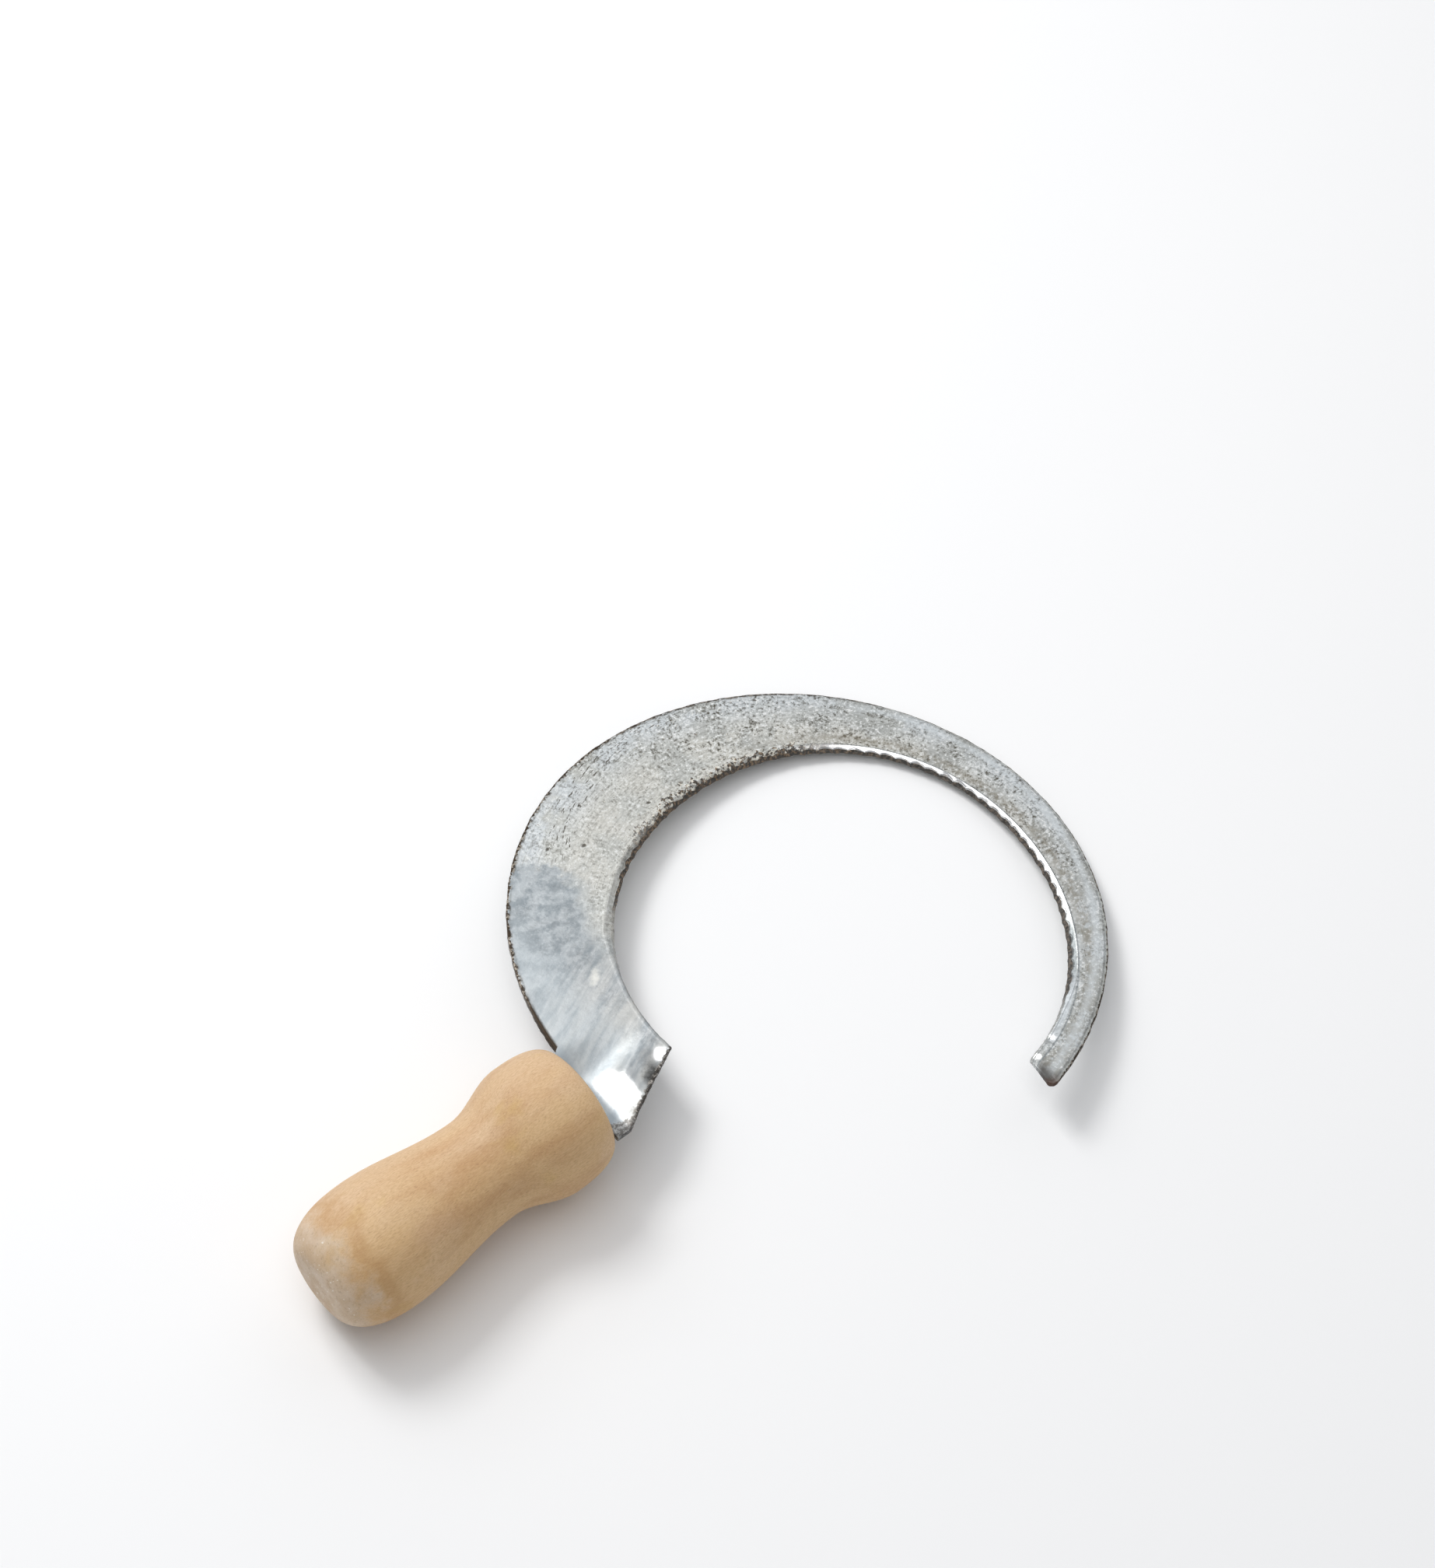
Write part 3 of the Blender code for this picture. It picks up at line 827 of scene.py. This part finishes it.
RUST_RUN = (0.150, 0.190)
PALE_CRUST_PLACE = (0.0006, 0.0016)
STEEL_BUMP = 0.00007

# Lone dark pits: (run, place, radius).
PITS = (
    (0.1022, 0.0086, 0.00070),
    (0.0829, 0.0184, 0.00075),
    (0.0820, 0.0296, 0.00065),
    (0.0974, 0.0278, 0.00050),
    (0.1588, 0.0298, 0.00060),
)
# Painted highlights, white spots that stand for light caught at the bend, the heel's corner and the tip:
# (world x, world y, radius). The first has a ring of painted shade.
PAINTED_HIGHLIGHTS = (
    (-0.0366, -0.0102, 0.0046),
    (-0.0362, -0.0156, 0.0043),
    (-0.0182, -0.0114, 0.0025),
    (0.0738, -0.0830, 0.0010),
    (0.0822, -0.0804, 0.0008),
)

# Colours of the steel, as displayed.
COOL_PALE = (214, 219, 221)
WARM_PALE = (219, 218, 211)
WARM_DULL = (202, 203, 198)
COOL_DULL = (188, 190, 187)
GRIND_GREY = (160, 160, 155)
BRUSHED_DARK = (156, 163, 167)
BRUSHED_PALE = (205, 207, 207)
MOTTLED_PALE = (190, 196, 199)
MOTTLED_DARK = (150, 158, 163)
BROAD_PALE = (218, 217, 212)
SPECK_DARK = (96, 92, 82)
SPECK_BRIGHT = (244, 245, 244)
DASH_DARK = (98, 94, 86)
STAIN_BROWN = (144, 136, 120)
SHEEN_BLUE = (228, 234, 237)
PIT_DARK = (78, 72, 62)
WORN_PALE = (240, 239, 232)
# White of the painted highlights on the bevel and at the spots that catch the light.
PAINTED_HIGHLIGHT_WHITE = (254, 254, 254)
# Painted shade that dims the bevel's own reflection towards the tip, then a pale painted reflection.
BEVEL_PAINTED_SHADE = (124, 130, 132)
BEVEL_PAINTED_PALE = (228, 235, 240)
BEVEL_LINE_BLUE = (112, 122, 130)
BACK_LINE_GREY = (108, 108, 104)
BACK_BAND_PALE = (204, 206, 200)
# Painted shade on the outer wall of the plate, with pale flecks.
WALL_PAINTED_SHADE = (66, 57, 48)
WALL_FLECK = (150, 142, 131)
# Painted shade beside the heel's end cut and on the cut itself.
BESIDE_CUT_PAINTED_SHADE = (46, 44, 41)
CUT_PAINTED_SHADE = (52, 46, 40)
CUT_PALE = (168, 164, 158)
# Painted shade next to the wood and over the upper neck, and a mottled painted shadow in the corner.
NEAR_WOOD_PAINTED_SHADE = (142, 151, 158)
UPPER_NECK_PAINTED_SHADE = (186, 194, 198)
CORNER_PAINTED_SHADOW = (92, 88, 84)
CORNER_PALE = (158, 158, 156)
# Painted shade over the tip and on its end cut.
TIP_PAINTED_SHADE = (66, 62, 58)
TIP_BROWN = (84, 60, 50)
TIP_CUT_PAINTED_SHADE = (60, 50, 44)
RUST_BROWN = (126, 104, 80)
RUST_GREY = (104, 92, 80)
# Soil colours, also used for the painted shade along the teeth.
SOIL_AND_SHADE_BLACK = (36, 31, 27)
CRUST_PALE = (222, 218, 206)
RING_PAINTED_SHADE = (154, 159, 162)


def steel_base(look, run, place, rim, where):
    """Ground colour: bluish brushed heel, then pale grey that is warmer near the edge."""
    clouds = look.noise(where, 70, 5, 0.6)
    pale = look.mix(look.ramp(rim, *COOLER_BY_RIM), COOL_PALE, WARM_PALE)
    dull = look.mix(look.ramp(run, *DULLER_RUN), WARM_DULL, COOL_DULL)
    warm = look.mix(look.ramp(clouds, 0.42, 0.62), pale, dull)
    lines = look.noise(look.stretched(run, place, GRIND_LINES), 1.0, 4, 0.65)
    warm = look.mix(look.ramp(lines, 0.50, 0.66, 0.0, 0.45), warm, GRIND_GREY)
    blue = into_blue(look, run, place, where)
    turned = look.scaled(where, (1, 1, 1), (0, 0, -BRUSH_DIRECTION))
    streaks = look.noise(look.scaled(turned, (70, 360, 70)), 1.0, 4, 0.62)
    broad = look.noise(look.scaled(turned, (45, 150, 45)), 1.0, 3, 0.5)
    brushed = look.mix(look.ramp(streaks, 0.36, 0.62), BRUSHED_DARK, BRUSHED_PALE)
    cloudy = look.noise(where, 190, 5, 0.65)
    mottled = look.mix(look.ramp(cloudy, 0.40, 0.60), MOTTLED_PALE, MOTTLED_DARK)
    bluish = look.mix(look.ramp(run, *MOTTLED_RUN, 0.20, 0.85), brushed, mottled)
    lighter = look.times(look.ramp(broad, 0.38, 0.66), look.ramp(run, *BROAD_STREAK_RUN))
    bluish = look.over(bluish, BROAD_PALE, lighter, 0.65)
    return look.mix(blue, warm, bluish), blue, streaks, clouds


def into_blue(look, run, place, where):
    """1 on the bluish heel; its border wanders, and is soft near the edge and sharp further in."""
    wander = look.jitter(look.noise(where, 170, 4, 0.6), BLUE_WANDER)
    limit = look.plus(look.ramp(place, *BLUE_END), look.ramp(place, *BLUE_END_RISE), wander)
    soft = look.ramp(place, *BLUE_SOFTNESS)
    return look.ramp(look.math("DIVIDE", look.less(limit, run), soft), -0.5, 1.0)


def steel_specks(look, tone, blue, run, where, grain):
    """Fine crowded speckle, thicker in patches and along the far side."""
    patch = look.times(
        look.ramp(look.noise(where, 130, 5, 0.7), 0.36, 0.62, 0.15, 1.0),
        look.ramp(run, *DENSER_SPECK_RUN, 0.60, 1.25),
        look.ramp(blue, 0.0, 1.0, 1.0, 0.25),
        look.ramp(run, *THINNER_SPECK_RUN, 1.0, 0.65),
    )
    dark = look.times(look.ramp(grain, 0.50, 0.38), patch)
    tone = look.over(tone, SPECK_DARK, dark, 0.85)
    bright = look.times(
        look.ramp(grain, 0.53, 0.64),
        look.ramp(blue, 0.0, 1.0, 0.95, 0.2),
        look.ramp(run, *BRIGHT_SPECK_RUN, 0.6, 1.0),
    )
    return look.mix(bright, tone, SPECK_BRIGHT)


def steel_marks(look, tone, blue, run, place, rim, where):
    """Dashes along the curve, a stained middle band, lone pits and a pale worn patch."""
    slant = look.plus(rim, look.ramp(run, *DASH_SLANT, False))
    along = look.stretched(run, slant, DASH_SCALE)
    upper_left = look.times(look.band(run, *DASH_RUN), look.band(slant, *DASH_BAND))
    dashes = look.times(
        look.ramp(look.noise(along, 1.0, 2, 0.6), 0.595, 0.640),
        look.ramp(upper_left, 0.0, 1.0, 0.12, 0.9),
        look.ramp(blue, 0.0, 1.0, 1.0, 0.2),
    )
    tone = look.mix(dashes, tone, DASH_DARK)
    stain = look.times(
        look.band(place, *STAIN_PLACE),
        look.ramp(run, *STAIN_RUN),
        look.ramp(look.noise(where, 560, 5, 0.7), 0.38, 0.60),
    )
    tone = look.over(tone, STAIN_BROWN, stain, 0.6)
    sheen = look.times(look.band(rim, *SHEEN_RIM), look.ramp(run, *SHEEN_RUN))
    tone = look.over(tone, SHEEN_BLUE, sheen, 0.5)
    pits = 0.0
    for pit_run, pit_place, radius in PITS:
        away = look.length(look.less(run, pit_run), look.less(place, pit_place))
        pits = look.plus(look.ramp(away, radius * 0.5, radius * 1.3, 1.0, 0.0), pits)
    tone = look.over(tone, PIT_DARK, pits, 0.85)
    worn = look.less(run, WORN_RUN)
    aside = look.less(place, WORN_PLACE)
    away = look.length(look.less(worn, aside), look.times(look.plus(worn, aside), WORN_NARROWING))
    away = look.plus(away, look.jitter(look.noise(where, 330, 4), WORN_WANDER))
    tone = look.mix(look.ramp(away, *WORN_FADE, 0.85, 0.0), tone, WORN_PALE)
    return tone, dashes, pits


def steel_bevel(look, tone, run, place, facing):
    """Painted highlight on the ground bevel, painted shade dimming it and then a pale painted reflection
    towards the tip, under a thin dark line.
    """
    bevel = look.times(
        look.band(place, *BEVEL_PLACE),
        look.times(look.ramp(run, *BEVEL_RUN_IN), look.ramp(run, *BEVEL_RUN_OUT)),
        facing,
    )
    tone = look.mix(bevel, tone, PAINTED_HIGHLIGHT_WHITE)
    pale = look.times(
        look.band(place, *PALE_BEVEL_PLACE),
        look.band(run, *PALE_BEVEL_RUN),
        look.ramp(run, *PALE_FROM_RUN, 0.80, 0.60),
    )
    bevel_painted_tone = look.mix(look.ramp(run, *PALE_FROM_RUN), BEVEL_PAINTED_SHADE, BEVEL_PAINTED_PALE)
    tone = look.mix(pale, tone, bevel_painted_tone)
    line = look.times(look.band(place, *BEVEL_LINE_PLACE), look.ramp(run, *BEVEL_LINE_RUN))
    return look.over(tone, BEVEL_LINE_BLUE, line, 0.8), bevel


def steel_back(look, tone, run, rim, where):
    """Thin dark lines at the back, and painted shade on the outer wall below them."""
    broken = look.ramp(look.noise(where, 210, 3, 0.6), 0.38, 0.60)
    far_side = look.ramp(run, *FAR_SIDE_RUN)
    broken = look.most(broken, look.times(far_side, 0.75))
    inner = look.times(look.band(rim, *BACK_LINE_RIM), broken)
    tone = look.over(tone, BACK_LINE_GREY, inner, 0.7)
    outer = look.times(look.ramp(rim, *BACK_BAND_RIM), far_side)
    tone = look.over(tone, BACK_BAND_PALE, outer, 0.7)
    flecked = look.ramp(run, *FLECKED_RUN)
    flecks = look.times(look.ramp(look.noise(where, 900, 2, 0.6), 0.50, 0.58), flecked)
    shaded_wall = look.mix(flecks, WALL_PAINTED_SHADE, WALL_FLECK)
    worn_away = look.ramp(look.noise(where, 480, 3, 0.65), 0.36, 0.62, 0.45, 1.75)
    reach = look.times(
        look.ramp(run, *WALL_REACH),
        look.ramp(flecked, 0.0, 1.0, 1.0, worn_away, False),
        look.ramp(far_side, 0.0, 1.0, 1.0, 0.45),
    )
    return look.mix(look.ramp(look.math("DIVIDE", rim, reach), 1.0, 0.4), tone, shaded_wall)


def steel_heel(look, tone, run, place, rim, along, aside, rough_cut):
    """Painted shade on the heel's dark end cut and on the face beside it, duller metal with painted shade
    next to the wood and over the upper neck, and a mottled painted shadow in the corner.
    """
    _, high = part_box("handle")
    wandering_run = look.less(run, look.jitter(rough_cut, CUT_WANDER))
    # Painted shade on the face beside the heel's end cut, then on the cut itself, with pale flecks.
    painted_shade_beside_cut = look.times(look.ramp(wandering_run, *BESIDE_CUT_SHADE_RUN), look.band(place, *BESIDE_CUT_SHADE_PLACE))
    tone = look.over(tone, BESIDE_CUT_PAINTED_SHADE, painted_shade_beside_cut, 0.95)
    cut = look.ramp(wandering_run, *CUT_RUN)
    cut_shade_tone = look.mix(look.ramp(rough_cut, 0.50, 0.64), CUT_PAINTED_SHADE, CUT_PALE)
    tone = look.mix(cut, tone, cut_shade_tone)
    from_wood = look.less(along, high.x)
    # Painted shade, with duller metal, on the neck next to the wood.
    dull = look.ramp(from_wood, *DULL_AND_SHADED_FROM_WOOD)
    on_face = look.ramp(rim, *FACE_RIM)
    tone = look.over(tone, NEAR_WOOD_PAINTED_SHADE, dull, on_face, 0.75)
    # Painted shade over the upper neck, holding back its reflection.
    upper = look.times(
        look.ramp(aside, *UPPER_NECK_SIDE),
        look.ramp(from_wood, *UPPER_NECK_FROM_WOOD),
        on_face,
    )
    tone = look.over(tone, UPPER_NECK_PAINTED_SHADE, upper, 0.45)
    # Mottled painted shadow in the lower corner next to the wood, with pale flecks.
    corner = look.plus(from_wood, look.ramp(aside, *CORNER_SLANT))
    corner = look.plus(corner, look.jitter(rough_cut, CORNER_WANDER))
    corner = look.ramp(corner, *CORNER_FROM_WOOD)
    corner_shadow_tone = look.mix(look.ramp(rough_cut, 0.44, 0.60), CORNER_PAINTED_SHADOW, CORNER_PALE)
    tone = look.over(tone, corner_shadow_tone, corner, 0.85)
    return tone, look.most(cut, painted_shade_beside_cut), look.most(dull, look.times(upper, 0.4))


def steel_tip(look, tone, run, place, rim):
    """Painted shade over the tip, browner towards the back, and painted shade on its dark end cut."""
    tip = look.times(look.ramp(run, *TIP_RUN), look.ramp(place, *TIP_PLACE))
    tip_shade_tone = look.mix(look.ramp(rim, *TIP_RIM), TIP_PAINTED_SHADE, TIP_BROWN)
    tone = look.over(tone, tip_shade_tone, tip, 0.88)
    return look.mix(look.ramp(run, *TIP_CUT_RUN, 0.0, 0.85), tone, TIP_CUT_PAINTED_SHADE), tip


def painted_highlight_masks(look, along, aside, where):
    """1 inside the painted highlights, with slightly uneven borders, and 1 in the ring of painted shade
    around the first.
    """
    wander = look.jitter(look.noise(where, 260, 3), 0.18)
    shares = []
    painted_highlight = 0.0
    for centre_x, centre_y, radius in PAINTED_HIGHLIGHTS:
        away = look.length(look.less(along, centre_x), look.less(aside, centre_y))
        shares.append(look.plus(look.math("DIVIDE", away, radius), wander))
        painted_highlight = look.most(look.ramp(shares[-1], 1.25, 0.70), painted_highlight)
    ring = look.times(look.ramp(shares[0], 1.0, 1.35), look.ramp(shares[0], 2.7, 1.8))
    return painted_highlight, ring


def steel_grime_and_tooth_shade(look, tone, run, place, where):
    """A dark toothed line along the edge, painted shade on the tooth wall and gullets in the soil's
    colours, and loose crust along the middle stretch.
    """
    crust_noise = look.noise(where, 560, 5, 0.72)
    near = look.plus(place, look.jitter(crust_noise, TOOTH_SHADE_WANDER))
    toothed = look.ramp(look.band(run, *TOOTH_SHADE_RUN), 0.0, 1.0, 0.30, 1.0)
    # Painted shade on the tooth wall and gullets.
    painted_tooth_shade = look.times(look.ramp(near, *TOOTH_SHADE_PLACE), toothed)
    crust_run = look.times(look.ramp(run, *CRUST_RUN_IN), look.ramp(run, *CRUST_RUN_OUT))
    loose = look.less(crust_noise, look.ramp(place, *CRUST_PLACE, 0.39, 0.63, False))
    loose = look.times(look.ramp(loose, -0.01, 0.05), crust_run)
    grime_and_shade = look.most(painted_tooth_shade, loose)
    rust = look.mix(look.ramp(run, *RUST_RUN), RUST_BROWN, RUST_GREY)
    soil_and_shade_tone = look.mix(look.ramp(look.noise(where, 1100, 3, 0.6), 0.44, 0.64), SOIL_AND_SHADE_BLACK, rust)
    pale = look.times(
        look.ramp(look.noise(where, 760, 2, 0.6), 0.53, 0.57),
        look.ramp(place, *PALE_CRUST_PLACE),
        crust_run,
    )
    soil_and_shade_tone = look.mix(pale, soil_and_shade_tone, CRUST_PALE)
    return look.over(tone, soil_and_shade_tone, grime_and_shade, 0.93), grime_and_shade, crust_noise


def steel_material():
    look = Look("worn_steel")
    lie = look.add("ShaderNodeUVMap", uv_map="lie")
    run, place = look.part(lie, 0), look.part(lie, 1)
    rim = look.part(look.add("ShaderNodeUVMap", uv_map="rim"), 0)
    where = look.add("ShaderNodeTexCoord", output="Object")
    along, aside = look.part(where, 0), look.part(where, 1)
    upright = look.part(look.add("ShaderNodeTexCoord", output="Normal"), 2)
    facing = look.ramp(upright, -0.1, 0.1)
    grain = look.noise(where, 880, 4, 0.72)
    rough_cut = look.noise(where, 800, 4, 0.7)

    tone, blue, streaks, clouds = steel_base(look, run, place, rim, where)
    tone = steel_specks(look, tone, blue, run, where, grain)
    tone, dashes, pits = steel_marks(look, tone, blue, run, place, rim, where)
    tone, bevel = steel_bevel(look, tone, run, place, facing)
    tone = steel_back(look, tone, run, rim, where)
    tone, grime_and_shade, crust_noise = steel_grime_and_tooth_shade(look, tone, run, place, where)
    # scale is the painted shade on the heel's end cut and beside it; dull marks duller metal with painted
    # shade next to the wood.
    tone, scale, dull = steel_heel(look, tone, run, place, rim, along, aside, rough_cut)
    # tip is the painted shade over the tip.
    tone, tip = steel_tip(look, tone, run, place, rim)
    # Soil and crust together with the painted shade at the teeth, the heel's cut and the tip.
    dirt_and_shade = look.most(grime_and_shade, look.most(scale, tip))
    free_of_dirt_and_shade = look.ramp(dirt_and_shade, 0.0, 0.5, 1.0, 0.0)
    painted_highlight, ring = painted_highlight_masks(look, along, aside, where)
    # Painted shade in a ring round the first painted highlight, then the painted highlights themselves.
    tone = look.over(tone, RING_PAINTED_SHADE, ring, free_of_dirt_and_shade, 0.40)
    painted_highlight = look.times(painted_highlight, free_of_dirt_and_shade, look.ramp(dull, 0.0, 0.6, 1.0, 0.0), facing)
    tone = look.over(tone, PAINTED_HIGHLIGHT_WHITE, painted_highlight, 0.95)

    look.set("Base Color", tone)
    look.set("Metallic", look.ramp(dirt_and_shade, 0.2, 0.9, 0.92, 0.30))
    rough = look.plus(look.ramp(clouds, 0.3, 0.7, 0.36, 0.46), look.jitter(grain, 0.05))
    shares = ((bevel, -0.18), (dirt_and_shade, 0.30), (dull, 0.2))
    look.set("Roughness", look.plus(rough, *(look.times(*share) for share in shares)))
    shares = ((pits, -1.6), (dashes, -0.8), (streaks, 0.5))
    relief = look.plus(grain, *(look.times(*share) for share in shares))
    smoothed = (look.ramp(bevel, 0.0, 1.0, 1.0, 0.06), look.ramp(painted_highlight, 0.0, 1.0, 1.0, 0.10))
    relief = look.plus(look.times(relief, *smoothed), look.times(crust_noise, dirt_and_shade, 1.8))
    look.set("Normal", look.bump(relief, STEEL_BUMP, 0.6))
    return look.material


# ---------------------------------------------------------------- wood

# Colours of the wood, as displayed.
# Painted shade on the low side and painted light on the high side of the handle.
SHADED_LOW_OCHRE = (216, 181, 134)
LIT_HIGH_PINK = (210, 179, 143)
FIBRE_DARK = (170, 128, 88)
FIBRE_PALE = (236, 212, 180)
FLECK_BROWN = (150, 108, 72)
RING_BROWN = (184, 140, 90)
# Painted sheen on the butt end.
END_SHEEN_DARK = (196, 172, 144)
END_SHEEN_PALE = (216, 200, 182)
PORE_BROWN = (150, 118, 88)
# Painted glints at the butt's rim.
PAINTED_GLINT_PALE = (246, 242, 236)

# Places on the wood, in metres.
LOW_SIDE_MARGIN = 0.008
HIGH_SIDE_MARGIN = 0.004
BUTT_WANDER = 0.0048
BUTT_RING = (0.0105, 0.0160, 0.0045)
BUTT_SHEEN = (0.0025, 0.0120)
BUTT_GLINTS = (0.0060, 0.001)
WOOD_BUMP = 0.00004

# Brown streaks, then pink and yellow clouds, as noise drawn out along the handle: (colour, scales,
# detail and roughness of the noise, its values where they start and where they are full, strength).
WOOD_CLOUDS = (
    ((190, 147, 104), (17, 95, 95), 4, 0.6, 0.46, 0.68, 0.62),
    ((222, 194, 162), (40, 60, 60), 3, 0.5, 0.50, 0.68, 0.30),
    ((208, 174, 104), (60, 90, 90), 2, 0.5, 0.60, 0.74, 0.35),
)


def wood_tone(look, where, aside):
    """Beech: ochre on the low side and paler and pinker above, as painted shade and painted light, with
    soft streaks and fine fibres.
    """

    def grown(scale, detail, roughness):
        """Noise drawn out along the handle."""
        return look.noise(look.scaled(where, scale), 1.0, detail, roughness)

    low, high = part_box("handle")
    # Painted light: the high side, towards the lamps, pinker than the shaded low side.
    side = look.ramp(aside, low.y + LOW_SIDE_MARGIN, high.y - HIGH_SIDE_MARGIN)
    blotch = look.jitter(grown((24, 85, 85), 4, 0.6), 0.25)
    side = look.math("ADD", side, blotch, clamp=True)
    tone = look.mix(side, SHADED_LOW_OCHRE, LIT_HIGH_PINK)
    for colour, scales, detail, roughness, start, full, strength in WOOD_CLOUDS:
        cloud = look.ramp(grown(scales, detail, roughness), start, full)
        tone = look.over(tone, colour, cloud, strength)
    fibre = grown((700, 3100, 3100), 3, 0.65)
    tone = look.mix(look.ramp(fibre, 0.45, 0.66, 0.0, 0.33), tone, FIBRE_DARK)
    tone = look.mix(look.ramp(fibre, 0.44, 0.32, 0.0, 0.18), tone, FIBRE_PALE)
    flecks = look.ramp(grown((520, 3000, 3000), 1, 0.5), 0.64, 0.72)
    return look.over(tone, FLECK_BROWN, flecks, 0.28), fibre, flecks


def butt_tone(look, tone, where, along):
    """Greyer, paler butt end as a painted sheen on the rounded end, with a browner ring behind it and pale
    specks that are painted glints.
    """
    low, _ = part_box("handle")
    wander = look.jitter(look.noise(where, 110, 5, 0.65), BUTT_WANDER)
    into_butt = look.plus(look.less(along, low.x), wander)
    ring = look.band(into_butt, *BUTT_RING)
    tone = look.over(tone, RING_BROWN, ring, 0.6)
    # Painted sheen on the rounded butt end.
    end = look.ramp(into_butt, *BUTT_SHEEN, 1.0, 0.0)
    pores = look.noise(where, 1000, 3, 0.65)
    smudge = look.ramp(look.noise(where, 150, 4, 0.55), 0.34, 0.66)
    sheen_tone = look.mix(smudge, END_SHEEN_DARK, END_SHEEN_PALE)
    tone = look.over(tone, sheen_tone, end, 0.70)
    dark_pores = look.times(end, look.ramp(pores, 0.44, 0.34, 0.0, 0.3))
    tone = look.mix(dark_pores, tone, PORE_BROWN)
    # Pale specks at the butt's rim, painted glints.
    glints = look.times(look.ramp(pores, 0.64, 0.69), look.ramp(into_butt, *BUTT_GLINTS))
    return look.over(tone, PAINTED_GLINT_PALE, glints, 0.9), look.times(pores, end)


def wood_material():
    look = Look("bare_beech")
    where = look.add("ShaderNodeTexCoord", output="Object")
    tone, fibre, flecks = wood_tone(look, where, look.part(where, 1))
    tone, end_grain = butt_tone(look, tone, where, look.part(where, 0))
    look.set("Base Color", tone)
    look.set("Roughness", look.ramp(fibre, 0.3, 0.7, 0.52, 0.68))
    look.set("Specular IOR Level", 0.35)
    relief = look.plus(look.times(fibre, 0.7), look.times(flecks, -0.6), end_grain)
    look.set("Normal", look.bump(relief, WOOD_BUMP, 0.3))
    return look.material


def floor_material():
    look = Look("pale_floor")
    look.set("Base Color", FLOOR_COLOUR)
    look.set("Roughness", FLOOR_ROUGHNESS)
    return look.material


# ---------------------------------------------------------------- stage


def add_floor():
    sides = ((-1, -1), (1, -1), (1, 1), (-1, 1))
    corners = [(FLOOR_HALF * x, FLOOR_HALF * y, 0) for x, y in sides]
    floor = new_object("floor", corners, [(0, 1, 2, 3)])
    floor.data.materials.append(floor_material())


def add_camera():
    right = Vector((cos(CAMERA_TURN), -sin(CAMERA_TURN), 0))
    away = Vector((sin(CAMERA_TURN), cos(CAMERA_TURN), 0))
    upright = Vector((0, 0, 1))
    up = away * sin(CAMERA_ELEVATION) + upright * cos(CAMERA_ELEVATION)
    sight = away * cos(CAMERA_ELEVATION) - upright * sin(CAMERA_ELEVATION)
    rolled_right = right * cos(CAMERA_ROLL) + up * sin(CAMERA_ROLL)
    rolled_up = up * cos(CAMERA_ROLL) - right * sin(CAMERA_ROLL)
    data = bpy.data.cameras.new("camera")
    data.lens = CAMERA_LENS
    camera = bpy.data.objects.new("camera", data)
    bpy.context.scene.collection.objects.link(camera)
    aim = circle_centre() + rolled_right * CAMERA_AIM_RIGHT + rolled_up * CAMERA_AIM_UP
    axes = Matrix((rolled_right, rolled_up, -sight)).transposed().to_4x4()
    camera.matrix_world = Matrix.Translation(aim - sight * CAMERA_DISTANCE) @ axes
    bpy.context.scene.camera = camera


def add_softbox(name, direction, distance, size, power, lengthwise):
    """A rectangular lamp aimed at the origin; its second side runs as near lengthwise as it can."""
    data = bpy.data.lights.new(name, "AREA")
    data.shape = "RECTANGLE"
    data.size, data.size_y = size
    data.energy = power
    light = bpy.data.objects.new(name, data)
    bpy.context.scene.collection.objects.link(light)
    towards = Vector(direction).normalized()
    long_side = Vector(lengthwise) - towards * towards.dot(Vector(lengthwise))
    long_side.normalize()
    axes = Matrix((long_side.cross(towards), long_side, towards)).transposed().to_4x4()
    light.matrix_world = Matrix.Translation(towards * distance) @ axes


def add_lights():
    world = bpy.data.worlds.new("studio")
    world.use_nodes = True
    background = world.node_tree.nodes["Background"]
    background.inputs["Color"].default_value = SKY_COLOUR
    background.inputs["Strength"].default_value = SKY_STRENGTH
    bpy.context.scene.world = world
    for softbox in SOFTBOXES:
        add_softbox(*softbox)
    bpy.context.scene.view_settings.view_transform = "Standard"


steel = steel_material()
beech = wood_material()
blade = build_blade(steel)
handle = build_handle(beech)
for piece, node, slot in ((blade, "blade", "forged_steel"), (handle, "handle", "turned_beech")):
    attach(piece, "root")
    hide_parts(node)
add_floor()
add_camera()
add_lights()
